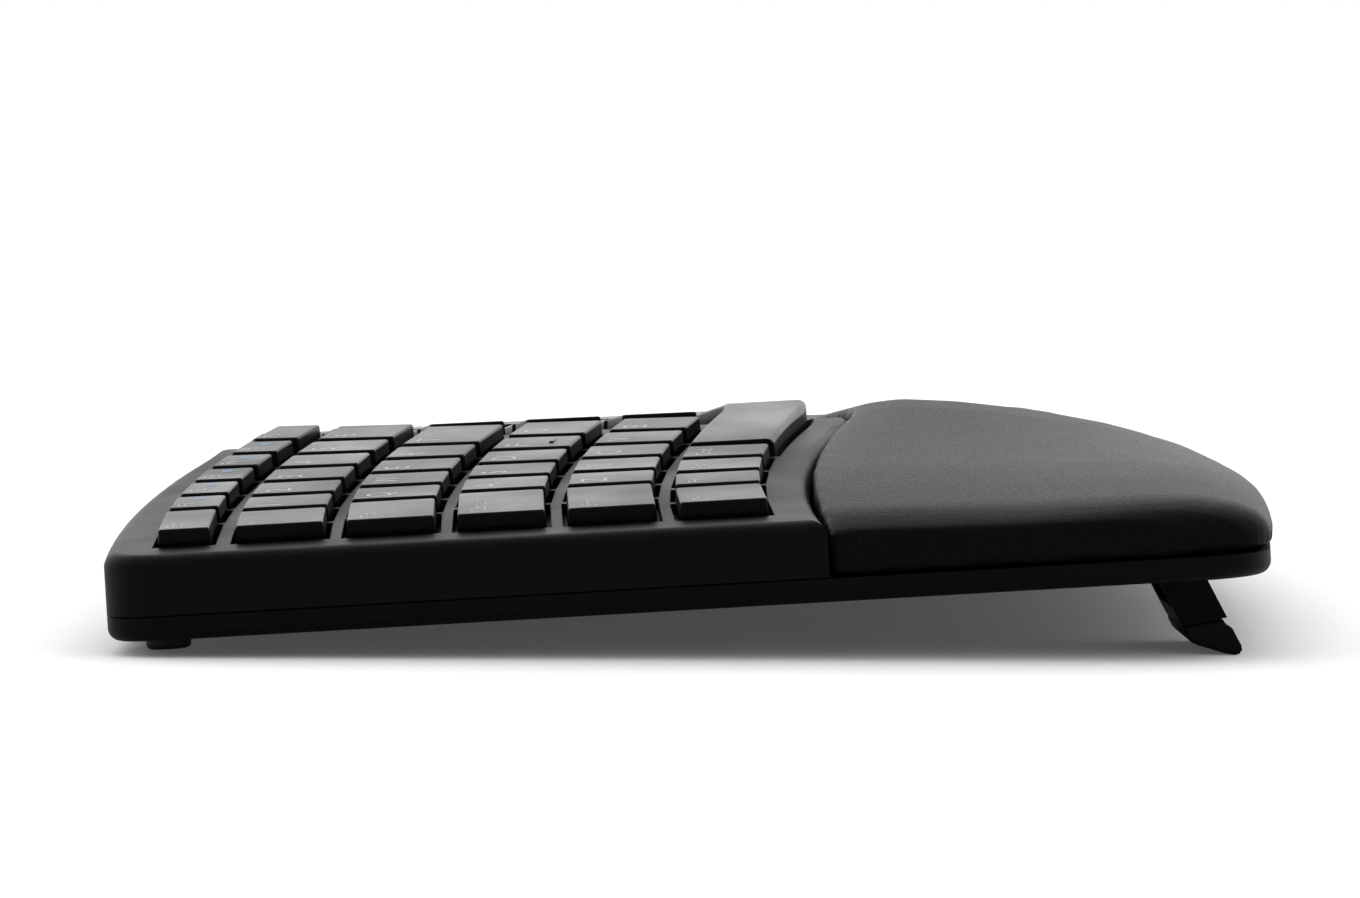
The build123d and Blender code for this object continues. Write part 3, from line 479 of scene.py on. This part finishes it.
def ramp(nodes, links, source, low, high, start=0.3, end=0.7):
    """Colour ramp between two greys or colours."""
    node = nodes.new("ShaderNodeValToRGB")
    node.color_ramp.elements[0].position = start
    node.color_ramp.elements[1].position = end
    node.color_ramp.elements[0].color = low
    node.color_ramp.elements[1].color = high
    links.new(source, node.inputs["Fac"])
    return node.outputs["Color"]


def grey(value):
    """Opaque grey."""
    return (value, value, value, 1.0)


def shades(colour, darkest, lightest):
    """Opaque colour multiplied by two factors."""
    return [tuple(part * factor for part in colour) + (1.0,) for factor in (darkest, lightest)]


def sheens(roughness, below, above):
    """Greys of the least and the most roughness, by their distance from the middle one."""
    return grey(roughness - below), grey(roughness + above)


def moulded_plastic(name, colour, roughness, grain, depth, spread=0.06, specular=0.045):
    """Moulded plastic with a fine texture, uneven sheen and slightly worn edges."""
    patch_scale = 38.0
    speck_share = 0.45
    worn_edge = 0.3 * MILLIMETRE
    material, nodes, links, shader = new_material(name)
    vector = object_coordinates(nodes, links, [1 / grain] * 3)
    fine = nodes.new("ShaderNodeTexNoise")
    fine.inputs["Scale"].default_value = 1.0
    fine.inputs["Detail"].default_value = 3.0
    links.new(vector, fine.inputs["Vector"])
    broad_vector = object_coordinates(nodes, links, [patch_scale] * 3)
    broad = nodes.new("ShaderNodeTexNoise")
    broad.inputs["Scale"].default_value = 1.0
    broad.inputs["Detail"].default_value = 4.0
    links.new(broad_vector, broad.inputs["Vector"])
    patch_shades = shades(colour, darkest=0.86, lightest=1.16)
    speck_shades = shades(colour, darkest=0.8, lightest=1.25)
    tint = ramp(nodes, links, broad.outputs["Fac"], *patch_shades)
    speck = ramp(nodes, links, fine.outputs["Fac"], *speck_shades)
    blend = nodes.new("ShaderNodeMix")
    blend.data_type = "RGBA"
    blend.inputs[0].default_value = speck_share
    links.new(tint, blend.inputs[6])
    links.new(speck, blend.inputs[7])
    links.new(blend.outputs[2], shader.inputs["Base Color"])
    sheen = ramp(nodes, links, broad.outputs["Fac"], *sheens(roughness, spread, spread))
    links.new(sheen, shader.inputs["Roughness"])
    bevel = nodes.new("ShaderNodeBevel")
    bevel.samples = 4
    bevel.inputs["Radius"].default_value = worn_edge
    bump = nodes.new("ShaderNodeBump")
    bump.inputs["Strength"].default_value = 0.6
    bump.inputs["Distance"].default_value = depth
    links.new(fine.outputs["Fac"], bump.inputs["Height"])
    links.new(bevel.outputs["Normal"], bump.inputs["Normal"])
    links.new(bump.outputs["Normal"], shader.inputs["Normal"])
    shader.inputs["Specular IOR Level"].default_value = specular
    return material


def leatherette(name, colour, roughness, grain):
    """Coated fabric with a pebbled grain, its colour darker in the grooves between pebbles as
    painted shade.
    """
    warp_scale = 0.35 / grain
    warp_reach = 0.7 * grain
    pore_scale = 3.2 / grain
    relief = 0.05 * grain
    material, nodes, links, shader = new_material(name)
    shader.inputs["Specular IOR Level"].default_value = 0.014
    vector = object_coordinates(nodes, links, (1.0, 1.0, 1.0))
    warp = nodes.new("ShaderNodeTexNoise")
    warp.inputs["Scale"].default_value = warp_scale
    warp.inputs["Detail"].default_value = 2.0
    links.new(vector, warp.inputs["Vector"])
    shift = nodes.new("ShaderNodeVectorMath")
    shift.operation = "MULTIPLY_ADD"
    shift.inputs[1].default_value = (warp_reach,) * 3
    links.new(warp.outputs["Color"], shift.inputs[0])
    links.new(vector, shift.inputs[2])
    pebble = nodes.new("ShaderNodeTexVoronoi")
    pebble.feature = "DISTANCE_TO_EDGE"
    pebble.inputs["Scale"].default_value = 1.0 / grain
    links.new(shift.outputs[0], pebble.inputs["Vector"])
    pore = nodes.new("ShaderNodeTexNoise")
    pore.inputs["Scale"].default_value = pore_scale
    pore.inputs["Detail"].default_value = 2.0
    links.new(vector, pore.inputs["Vector"])
    flat_levels = (grey(0.0), grey(1.0))
    height = ramp(nodes, links, pebble.outputs["Distance"], *flat_levels, start=0.0, end=0.28)
    bump = nodes.new("ShaderNodeBump")
    bump.inputs["Strength"].default_value = 0.35
    bump.inputs["Distance"].default_value = relief
    links.new(height, bump.inputs["Height"])
    second = nodes.new("ShaderNodeBump")
    second.inputs["Strength"].default_value = 0.35
    second.inputs["Distance"].default_value = relief
    links.new(pore.outputs["Fac"], second.inputs["Height"])
    links.new(bump.outputs["Normal"], second.inputs["Normal"])
    links.new(second.outputs["Normal"], shader.inputs["Normal"])
    # Painted shade: the colour is darkest in the grooves between pebbles, where the bump sinks, and
    # lightest on the pebble tops
    tones = shades(colour, darkest=0.75, lightest=1.1)
    tone = ramp(nodes, links, pebble.outputs["Distance"], *tones, start=0.0, end=0.2)
    links.new(tone, shader.inputs["Base Color"])
    sheen = ramp(nodes, links, pore.outputs["Fac"], *sheens(roughness, below=0.07, above=0.08))
    links.new(sheen, shader.inputs["Roughness"])
    return material


def brushed_metal(name, colour, roughness):
    """Plated sheet or turned metal with drawn streaks."""
    streak_scale = (260.0, 9000.0, 2600.0)
    material, nodes, links, shader = new_material(name)
    vector = object_coordinates(nodes, links, streak_scale)
    streak = nodes.new("ShaderNodeTexNoise")
    streak.inputs["Scale"].default_value = 1.0
    streak.inputs["Detail"].default_value = 4.0
    links.new(vector, streak.inputs["Vector"])
    tones = shades(colour, darkest=0.85, lightest=1.1)
    tone = ramp(nodes, links, streak.outputs["Fac"], *tones)
    links.new(tone, shader.inputs["Base Color"])
    sheen = ramp(nodes, links, streak.outputs["Fac"], *sheens(roughness, below=0.08, above=0.1))
    links.new(sheen, shader.inputs["Roughness"])
    shader.inputs["Metallic"].default_value = 1.0
    return material


def circuit_green(name):
    """Solder mask over copper tracks."""
    track_scale = 420.0
    material, nodes, links, shader = new_material(name)
    vector = object_coordinates(nodes, links, [track_scale] * 3)
    tracks = nodes.new("ShaderNodeTexBrick")
    tracks.inputs["Scale"].default_value = 1.0
    tracks.inputs["Mortar Size"].default_value = 0.06
    tracks.inputs["Color1"].default_value = (0.01, 0.06, 0.028, 1.0)
    tracks.inputs["Color2"].default_value = (0.012, 0.075, 0.033, 1.0)
    tracks.inputs["Mortar"].default_value = (0.03, 0.14, 0.06, 1.0)
    links.new(vector, tracks.inputs["Vector"])
    links.new(tracks.outputs["Color"], shader.inputs["Base Color"])
    shader.inputs["Roughness"].default_value = 0.35
    return material


# Objects
def add_object(name, data):
    """Object of new data, linked to the scene."""
    obj = bpy.data.objects.new(name, data)
    bpy.context.scene.collection.objects.link(obj)
    return obj


def mesh_object(name, mesh, material, body):
    """Object of a finished bmesh that rides on a body."""
    data = bpy.data.meshes.new(name)
    mesh.to_mesh(data)
    mesh.free()
    data.materials.append(material)
    obj = add_object(name, data)
    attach(obj, body)
    return obj


def smooth_with_flat_faces(obj):
    """Smooth shading in which large faces stay flat."""
    for face in obj.data.polygons:
        face.use_smooth = True
    weighted = obj.modifiers.new("weighted_normals", "WEIGHTED_NORMAL")
    weighted.keep_sharp = True
    weighted.weight = 100


def paint(obj, material):
    """Give an object one material in all its slots."""
    obj.data.materials.clear()
    obj.data.materials.append(material)


def paint_nodes(names, material):
    """Give framed nodes one material."""
    for name in names:
        paint(frame["nodes"][name], material)


# Reading keycaps from the frame
def islands(mesh):
    """Vertices of a mesh in connected groups, in the mesh's own order."""
    seen = set()
    for first in mesh.verts:
        if first in seen:
            continue
        seen.add(first)
        group = []
        stack = [first]
        while stack:
            vertex = stack.pop()
            group.append(vertex)
            for edge in vertex.link_edges:
                other = edge.other_vert(vertex)
                if other not in seen:
                    seen.add(other)
                    stack.append(other)
        yield group


def top_face(group):
    """Faces of the largest flat top in a group of vertices."""
    planes = {}
    for face in dict.fromkeys(face for vertex in group for face in vertex.link_faces):
        if face.normal.z < LEAST_UPWARD:
            continue
        offset = face.normal.dot(face.verts[0].co)
        place = round(offset / PLANE_STEP)
        for near in (place - 1, place, place + 1):
            if near in planes:
                place = near
                break
        planes.setdefault(place, []).append(face)
    return max(planes.values(), key=lambda faces: sum(face.calc_area() for face in faces))


def cap_place(group):
    """Matrix, width and depth of a keycap: X along its row, Y to the rear, Z out of its top."""
    faces = top_face(group)
    normal = sum((face.normal * face.calc_area() for face in faces), Vector()).normalized()
    picked = set(faces)
    rim = [e for face in faces for e in face.edges if sum(f in picked for f in e.link_faces) == 1]
    longest = max(rim, key=lambda edge: edge.calc_length())
    along = (longest.verts[1].co - longest.verts[0].co).normalized()
    if abs(along.x) < abs(along.y):
        along = along.cross(normal)
    if along.x < 0:
        along = -along
    back = normal.cross(along).normalized()
    along = back.cross(normal)
    points = [vertex.co for face in faces for vertex in face.verts]
    spans = []
    for direction in (along, back):
        reach = [point.dot(direction) for point in points]
        spans.append((min(reach), max(reach)))
    height = points[0].dot(normal)
    centre = along * sum(spans[0]) / 2 + back * sum(spans[1]) / 2 + normal * height
    matrix = Matrix((along, back, normal)).transposed().to_4x4()
    matrix.translation = centre
    return matrix, spans[0][1] - spans[0][0], spans[1][1] - spans[1][0]


def cap_places(node):
    """Places of the keycaps of a CAD node."""
    mesh = bmesh.new()
    mesh.from_mesh(frame["nodes"][node].data)
    bmesh.ops.remove_doubles(mesh, verts=mesh.verts, dist=MERGE_DISTANCE)
    mesh.normal_update()
    places = [cap_place(group) for group in islands(mesh)]
    mesh.free()
    return places


def in_rows(places, rows):
    """Places sorted into rows from the rear, each from the left, with the legend of each."""
    rest = sorted(places, key=lambda place: -place[0].translation.y)
    for row in rows:
        picked = sorted(rest[: len(row)], key=lambda place: place[0].translation.x)
        rest = rest[len(row):]
        yield from zip(picked, row)


# Building keycaps
def rounded_outline(width, depth, radius, steps):
    """Points around a rectangle with round corners."""
    points = []
    for quarter, (sx, sy) in enumerate(((1, 1), (-1, 1), (-1, -1), (1, -1))):
        centre = Vector((sx * (width / 2 - radius), sy * (depth / 2 - radius), 0))
        for step in range(steps + 1):
            angle = QUARTER_TURN * (quarter + step / steps)
            points.append(centre + Vector((math.cos(angle), math.sin(angle), 0)) * radius)
    return points


def add_levels(mesh, matrix, levels):
    """Skin a stack of outlines, from the lowest to the highest, and close both ends."""
    rings = [[mesh.verts.new(matrix @ point) for point in level] for level in levels]
    for low, high in zip(rings, rings[1:]):
        count = len(low)
        for index in range(count):
            following = (index + 1) % count
            mesh.faces.new((low[index], low[following], high[following], high[index]))
    mesh.faces.new(list(reversed(rings[0])))
    mesh.faces.new(rings[-1])


def add_cap(mesh, matrix, width, depth, settings):
    """One keycap under its top face."""
    steps = settings.rounding_steps
    levels = []
    flare = 2 * settings.flare
    for level_height, growth in ((-settings.height, flare), (-settings.height / 2, flare / 2)):
        outline = rounded_outline(width + growth, depth + growth, settings.corner, steps)
        levels.append([point + Vector((0, 0, level_height)) for point in outline])
    for step in range(steps + 1):
        angle = QUARTER_TURN * step / steps
        inset = settings.edge * (1 - math.cos(angle))
        level_height = settings.edge * (math.sin(angle) - 1)
        radius = max(settings.corner - inset, settings.edge / 4)
        outline = rounded_outline(width - 2 * inset, depth - 2 * inset, radius, steps)
        levels.append([point + Vector((0, 0, level_height)) for point in outline])
    add_levels(mesh, matrix, levels)


def add_homing_bar(mesh, matrix, depth):
    """Raised bar near the front edge of a keycap."""
    length = 4.4 * MILLIMETRE
    width = 1.0 * MILLIMETRE
    rise = 0.3 * MILLIMETRE
    from_front = 4.4 * MILLIMETRE
    corner_steps = 4
    place = matrix @ Matrix.Translation((0, from_front - depth / 2, 0))
    levels = []
    for rise_share, inset_share in HOMING_LEVEL_SHARES:
        inset = width * inset_share
        narrow = width - 2 * inset
        radius = narrow * HOMING_CORNER_SHARE
        outline = rounded_outline(length - 2 * inset, narrow, radius, corner_steps)
        levels.append([point + Vector((0, 0, rise * rise_share)) for point in outline])
    add_levels(mesh, place, levels)


def add_legend(target, matrix, text, size, corner):
    """Letters of one legend as flat faces on a keycap."""
    curve = bpy.data.curves.new("legend", "FONT")
    curve.body = text
    curve.size = size / CAPITAL_SHARE
    curve.resolution_u = 3
    holder = add_object("legend", curve)
    data = bpy.data.meshes.new_from_object(holder)
    left = min((vertex.co.x for vertex in data.vertices), default=0)
    top = max((vertex.co.y for vertex in data.vertices), default=0)
    shift = Matrix.Translation((corner[0] - left, corner[1] - top, 0))
    data.transform(matrix @ shift)
    target.from_mesh(data)
    bpy.data.meshes.remove(data)
    bpy.data.objects.remove(holder)
    bpy.data.curves.remove(curve)


def add_arrow(target, matrix, turn, size):
    """Small arrow on a keycap, turned by an angle in degrees."""
    place = matrix @ Matrix.Rotation(math.radians(turn), 4, "Z")
    points = [place @ Vector((x * size, y * size, 0)) for x, y in reversed(ARROW_OUTLINE_SHARES)]
    target.faces.new([target.verts.new(point) for point in points])


def add_space_bar(material, settings):
    """Space bar with rounded edges, its stems cut short of the domes."""
    mesh = bmesh.new()
    mesh.from_mesh(frame["nodes"]["space_bar"].data)
    bmesh.ops.remove_doubles(mesh, verts=mesh.verts, dist=MERGE_DISTANCE)
    up = Vector((0, math.sin(CASE_TILT), math.cos(CASE_TILT)))
    lowest = min(up.dot(vertex.co) for vertex in mesh.verts)
    for vertex in mesh.verts:
        if up.dot(vertex.co) < lowest + settings.stem_cut / 2:
            vertex.co += up * settings.stem_cut
    bmesh.ops.dissolve_limit(mesh, angle_limit=DISSOLVE_ANGLE, verts=mesh.verts, edges=mesh.edges)
    obj = mesh_object("cap_space_bar", mesh, material, "space_bar_body")
    bevel = obj.modifiers.new("rounded_edges", "BEVEL")
    bevel.width = settings.bar_edge
    bevel.segments = settings.rounding_steps
    bevel.limit_method = "ANGLE"
    bevel.angle_limit = settings.bar_angle
    bevel.use_clamp_overlap = True
    smooth_with_flat_faces(obj)
    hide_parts("space_bar")


def add_mark(target, matrix, x, size):
    """Second mark of a function key, x to the right of the keycap's middle."""
    steps = 3
    place = matrix @ Matrix.Translation((x, 0, 0))
    outline = rounded_outline(size, size * MARK_DEPTH_SHARE, size * MARK_CORNER_SHARE, steps)
    target.faces.new([target.verts.new(place @ point) for point in outline])


class KEYBOARD_OT_keycaps(bpy.types.Operator):
    """Rounded keycaps in place of the framed ones"""

    bl_idname = "keyboard.keycaps"
    bl_label = "Make Keycaps"

    def execute(self, context):
        settings = context.scene.keyboard_keys
        material = moulded_plastic(
            "keycap_plastic",
            settings.colour,
            settings.roughness,
            *KEYCAP_GRAIN,
        )
        for node, rows in LEGENDS.items():
            mesh = bmesh.new()
            for (matrix, width, depth), legend in in_rows(cap_places(node), rows):
                full_width = width + 2 * settings.chamfer
                full_depth = depth + 2 * settings.chamfer
                add_cap(mesh, matrix, full_width, full_depth, settings)
                if legend in ("F", "J") and node.startswith("home"):
                    add_homing_bar(mesh, matrix, full_depth)
            obj = mesh_object("cap_" + node, mesh, material, node + "_body")
            smooth_with_flat_faces(obj)
            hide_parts(node)
        add_space_bar(material, settings)
        return {"FINISHED"}


class KEYBOARD_OT_legends(bpy.types.Operator):
    """Plain letters, figures and words printed on the keycaps"""

    bl_idname = "keyboard.legends"
    bl_label = "Print Legends"

    def execute(self, context):
        settings = context.scene.keyboard_keys
        ink = moulded_plastic("legend_ink", settings.legend_colour, *INK_FINISH)
        blue_ink = moulded_plastic("legend_blue_ink", settings.blue_colour, *INK_FINISH)
        for node, rows in LEGENDS.items():
            mesh = bmesh.new()
            marks = bmesh.new()
            for (matrix, width, depth), legend in in_rows(cap_places(node), rows):
                lifted = matrix @ Matrix.Translation((0, 0, settings.legend_lift))
                if legend in ARROW_TURNS:
                    add_arrow(mesh, lifted, ARROW_TURNS[legend], settings.legend_size)
                    continue
                size = settings.legend_size if len(legend) == 1 else settings.word_size
                top_inset = settings.legend_inset
                if "function" in node or node == "escape_key":
                    top_inset = settings.legend_inset / 2
                corner = (settings.legend_inset - width / 2, depth / 2 - top_inset)
                add_legend(mesh, lifted, legend, size, corner)
                if legend in MARKED_KEYS:
                    mark_x = width / 2 - 2 * settings.legend_inset
                    add_mark(marks, lifted, mark_x, settings.word_size)
            body = node + "_body"
            mesh_object("legend_" + node, mesh, ink, body)
            if marks.verts:
                mesh_object("second_mark_" + node, marks, blue_ink, body)
            else:
                marks.free()
        return {"FINISHED"}


# Case and legs
class KEYBOARD_OT_case(bpy.types.Operator):
    """Plastic of the shell, the tray, the legs and the small parts"""

    bl_idname = "keyboard.case"
    bl_label = "Finish Case"

    def execute(self, context):
        settings = context.scene.keyboard_case
        shell = moulded_plastic(
            "shell_plastic",
            settings.shell_colour,
            settings.shell_roughness,
            *SHELL_GRAIN,
            specular=0.06,
        )
        tray = moulded_plastic(
            "tray_plastic",
            settings.tray_colour,
            settings.tray_roughness,
            *TRAY_GRAIN,
        )
        rubber = moulded_plastic("foot_rubber", settings.rubber_colour, *FOOT_FINISH, specular=0.3)
        paint_nodes(["top_shell"], shell)
        paint_nodes(["bottom_tray", "battery_door", "palm_rest_plate", "key_guide"], tray)
        paint_nodes(["leg_left", "leg_right", "power_switch"], tray)
        paint_nodes(["leg_tip_left", "leg_tip_right", "rear_feet", "front_feet"], rubber)
        for name, (colour, roughness, grain, depth, nodes) in SMALL_PARTS.items():
            paint_nodes(nodes, moulded_plastic(name, colour, roughness, grain, depth))
        steel = brushed_metal("plated_steel", STEEL_COLOUR, STEEL_ROUGHNESS)
        paint_nodes(["backing_plate", "case_screws", "battery_contacts"], steel)
        paint_nodes(["controller_board"], circuit_green("circuit_green"))
        return {"FINISHED"}


def leg_matrix(side):
    """Frame of a leg and its width: origin on its hinge at its left end, Z up along the leg."""
    joint = next(joint for joint in frame["joints"] if joint["name"] == "leg_" + side + "_fold")
    hinge = Vector(joint["pos_m"])
    low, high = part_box("leg_tip_" + side)
    toe = (low + high) / 2 - hinge
    turn = Matrix.Rotation(math.atan2(toe.y, -toe.z), 4, "X")
    return Matrix.Translation((low.x, hinge.y, hinge.z)) @ turn, high.x - low.x


def add_tip(mesh, side, settings):
    """Rubber boot of a leg, with a notch under the leg's front edge."""
    matrix, width = leg_matrix(side)
    outline = [matrix @ Vector((0, y * MILLIMETRE, z * MILLIMETRE)) for y, z in TIP_OUTLINE]
    across = matrix.to_3x3() @ Vector((width, 0, 0))
    near = [mesh.verts.new(point) for point in outline]
    far = [mesh.verts.new(point + across) for point in outline]
    mesh.faces.new(near)
    mesh.faces.new(list(reversed(far)))
    for index in range(len(near)):
        following = (index + 1) % len(near)
        mesh.faces.new((near[following], near[index], far[index], far[following]))
    bmesh.ops.recalc_face_normals(mesh, faces=mesh.faces)
    bmesh.ops.bevel(
        mesh,
        geom=mesh.edges[:],
        offset=settings.tip_edge,
        segments=3,
        affect="EDGES",
        clamp_overlap=True,
    )


class KEYBOARD_OT_legs(bpy.types.Operator):
    """Rounded rubber boots on the flip-out legs"""

    bl_idname = "keyboard.legs"
    bl_label = "Make Leg Tips"

    def execute(self, context):
        settings = context.scene.keyboard_case
        rubber = moulded_plastic("tip_rubber", settings.tray_colour, *BOOT_FINISH, specular=0.08)
        for side in ("left", "right"):
            mesh = bmesh.new()
            add_tip(mesh, side, settings)
            obj = mesh_object("boot_leg_" + side, mesh, rubber, "leg_" + side + "_body")
            smooth_with_flat_faces(obj)
            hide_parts("leg_tip_" + side)
        return {"FINISHED"}


# Palm rest
def front_reader(mesh, low, high):
    """Function that gives the y of the cushion's front at any x, read from slices of its mesh."""
    slices = 64
    width = (high.x - low.x) / slices
    front = [high.y] * slices
    for vertex in mesh.vertices:
        index = min(slices - 1, max(0, int((vertex.co.x - low.x) / width)))
        front[index] = min(front[index], vertex.co.y)

    def read(x):
        place = (x - low.x) / width - 0.5
        index = min(slices - 2, max(0, int(place)))
        share = clamped(place - index)
        return front[index] * (1 - share) + front[index + 1] * share

    return read


def clamped(share):
    """Share kept between 0 and 1."""
    return min(1.0, max(0.0, share))


def swell(mesh, settings):
    """Sculpt the cushion: its ends fall, its front swells near them and hangs over the plate."""
    low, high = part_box("palm_cushion")
    slope = math.tan(CASE_TILT)
    front_at = front_reader(mesh, low, high)
    fade = 2 * settings.end_reach
    for vertex in mesh.vertices:
        point = vertex.co
        foot = low.z + slope * (high.y - point.y)
        height = point.z - foot
        inward = min(point.x - low.x, high.x - point.x)
        end = clamped(1 - inward / settings.end_reach)
        beside = clamped(1 - (inward - settings.end_reach) / fade)
        ahead = clamped(1 - (point.y - front_at(point.x)) / settings.front_reach)
        ahead = ahead * ahead * (3 - 2 * ahead)
        growth = settings.front_swell * ahead * beside - settings.end_fall * end * end
        point.z = foot + height * (1 + growth)
        point.y -= settings.overhang * ahead ** 3


class KEYBOARD_OT_cushion(bpy.types.Operator):
    """Leatherette palm rest with rounded folds"""

    bl_idname = "keyboard.cushion"
    bl_label = "Make Palm Cushion"

    def execute(self, context):
        settings = context.scene.keyboard_cushion
        source = frame["nodes"]["palm_cushion"]
        data = source.data.copy()
        data.name = "padded_palm_rest"
        obj = add_object("padded_palm_rest", data)
        remesh = obj.modifiers.new("voxels", "REMESH")
        remesh.mode = "VOXEL"
        remesh.voxel_size = settings.voxel
        smooth = obj.modifiers.new("folds", "SMOOTH")
        smooth.factor = 0.5
        smooth.iterations = settings.smooth_steps
        depsgraph = context.evaluated_depsgraph_get()
        shaped = bpy.data.meshes.new_from_object(obj.evaluated_get(depsgraph))
        obj.modifiers.clear()
        obj.data = shaped
        bpy.data.meshes.remove(data)
        swell(shaped, settings)
        for face in shaped.polygons:
            face.use_smooth = True
        paint(obj, leatherette("leatherette", settings.colour, settings.roughness, settings.grain))
        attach(obj, "base")
        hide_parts("palm_cushion")
        return {"FINISHED"}


# Stage
def make_floor(settings):
    """Floor of pale paper that passes a little light on."""
    mesh = bmesh.new()
    bmesh.ops.create_grid(mesh, x_segments=1, y_segments=1, size=FLOOR_REACH)
    data = bpy.data.meshes.new("floor")
    mesh.to_mesh(data)
    mesh.free()
    material, nodes, links, shader = new_material("floor_paper")
    shader.inputs["Base Color"].default_value = tuple(settings.floor_colour) + (1.0,)
    shader.inputs["Roughness"].default_value = 0.9
    shader.inputs["Specular IOR Level"].default_value = 0.0
    shader.inputs["Emission Color"].default_value = grey(1.0)
    sight = nodes.new("ShaderNodeLightPath")
    glow = nodes.new("ShaderNodeMath")
    glow.operation = "MULTIPLY"
    glow.inputs[1].default_value = settings.floor_glow
    links.new(sight.outputs["Is Camera Ray"], glow.inputs[0])
    links.new(glow.outputs[0], shader.inputs["Emission Strength"])
    data.materials.append(material)
    add_object("floor", data)


def make_room(settings):
    """White backdrop in a room whose light falls from right to left."""
    world = bpy.data.worlds.new("room")
    world.use_nodes = True
    nodes = world.node_tree.nodes
    links = world.node_tree.links
    bearing = nodes.new("ShaderNodeTexCoord")
    split = nodes.new("ShaderNodeSeparateXYZ")
    links.new(bearing.outputs["Generated"], split.inputs[0])
    across = nodes.new("ShaderNodeMapRange")
    across.inputs["From Min"].default_value = -1.0
    links.new(split.outputs["X"], across.inputs["Value"])
    fall = nodes.new("ShaderNodeMath")
    fall.operation = "POWER"
    fall.inputs[1].default_value = settings.room_fall
    links.new(across.outputs["Result"], fall.inputs[0])
    room = nodes.new("ShaderNodeMapRange")
    room.inputs["To Min"].default_value = settings.near_strength
    room.inputs["To Max"].default_value = settings.far_strength
    links.new(fall.outputs[0], room.inputs["Value"])
    sight = nodes.new("ShaderNodeLightPath")
    seen = nodes.new("ShaderNodeMapRange")
    seen.inputs["To Max"].default_value = settings.backdrop_strength
    links.new(sight.outputs["Is Camera Ray"], seen.inputs["Value"])
    links.new(room.outputs["Result"], seen.inputs["To Min"])
    back = nodes["Background"]
    back.inputs["Color"].default_value = grey(1.0)
    links.new(seen.outputs["Result"], back.inputs["Strength"])
    bpy.context.scene.world = world


def make_lights(settings):
    """Soft box beyond the keyboard and a wide light overhead."""
    box = bpy.data.lights.new("far_box", "AREA")
    box.shape = "RECTANGLE"
    box.size, box.size_y = FAR_BOX_SIZE
    box.energy = settings.rear_light
    light = add_object("far_box", box)
    light.location = FAR_BOX_PLACE
    light.rotation_euler = (-Vector(FAR_BOX_PLACE)).to_track_quat("-Z", "Y").to_euler()
    ceiling = bpy.data.lights.new("ceiling_glow", "SUN")
    ceiling.energy = settings.ceiling_strength
    ceiling.angle = settings.ceiling_spread
    add_object("ceiling_glow", ceiling).rotation_euler = settings.ceiling_lean


def make_camera():
    """Camera in the place that the photograph was taken from."""
    data = bpy.data.cameras.new("photo_camera")
    data.sensor_width = SENSOR_WIDTH
    data.lens = FOCAL_PIXELS / PHOTO_WIDTH * SENSOR_WIDTH
    data.clip_start, data.clip_end = CLIP_RANGE
    camera = add_object("photo_camera", data)
    up = Vector((0, 0, 1))
    level = Vector((math.cos(CAMERA_YAW), math.sin(CAMERA_YAW), 0))
    side = Vector((math.sin(CAMERA_YAW), -math.cos(CAMERA_YAW), 0))
    ahead = level * math.cos(CAMERA_PITCH) - up * math.sin(CAMERA_PITCH)
    above = level * math.sin(CAMERA_PITCH) + up * math.cos(CAMERA_PITCH)
    right = side * math.cos(CAMERA_ROLL) - above * math.sin(CAMERA_ROLL)
    upright = side * math.sin(CAMERA_ROLL) + above * math.cos(CAMERA_ROLL)
    matrix = Matrix((right, upright, -ahead)).transposed().to_4x4()
    matrix.translation = Vector(CAMERA_PLACE)
    camera.matrix_world = matrix
    bpy.context.scene.camera = camera


class KEYBOARD_OT_stage(bpy.types.Operator):
    """Pale floor, soft light and the camera"""

    bl_idname = "keyboard.stage"
    bl_label = "Set Stage"

    def execute(self, context):
        settings = context.scene.keyboard_stage
        context.scene.view_settings.view_transform = "Standard"
        make_floor(settings)
        make_room(settings)
        make_lights(settings)
        make_camera()
        return {"FINISHED"}


# Panel and registration
class KEYBOARD_PT_panel(bpy.types.Panel):
    """Steps that dress the keyboard"""

    bl_idname = "KEYBOARD_PT_panel"
    bl_label = "Split Keyboard"
    bl_space_type = "VIEW_3D"
    bl_region_type = "UI"
    bl_category = "Keyboard"

    def draw(self, context):
        scene = context.scene
        for title, group in (
            ("Keys", scene.keyboard_keys),
            ("Case", scene.keyboard_case),
            ("Cushion", scene.keyboard_cushion),
            ("Stage", scene.keyboard_stage),
        ):
            box = self.layout.box()
            box.label(text=title)
            for name in group.__annotations__:
                box.prop(group, name)
        for step in STEPS:
            self.layout.operator(step.bl_idname)


STEPS = (
    KEYBOARD_OT_stage,
    KEYBOARD_OT_keycaps,
    KEYBOARD_OT_legends,
    KEYBOARD_OT_case,
    KEYBOARD_OT_legs,
    KEYBOARD_OT_cushion,
)
GROUPS = {
    "keyboard_keys": KeySettings,
    "keyboard_case": CaseSettings,
    "keyboard_cushion": CushionSettings,
    "keyboard_stage": StageSettings,
}


def register():
    for name, group in GROUPS.items():
        bpy.utils.register_class(group)
        setattr(bpy.types.Scene, name, PointerProperty(type=group))
    for step in STEPS:
        bpy.utils.register_class(step)
    bpy.utils.register_class(KEYBOARD_PT_panel)


def unregister():
    bpy.utils.unregister_class(KEYBOARD_PT_panel)
    for step in reversed(STEPS):
        bpy.utils.unregister_class(step)
    for name, group in GROUPS.items():
        delattr(bpy.types.Scene, name)
        bpy.utils.unregister_class(group)


def main():
    register()
    bpy.ops.keyboard.stage()
    bpy.ops.keyboard.keycaps()
    bpy.ops.keyboard.legends()
    bpy.ops.keyboard.case()
    bpy.ops.keyboard.legs()
    bpy.ops.keyboard.cushion()


if __name__ == "__main__":
    main()
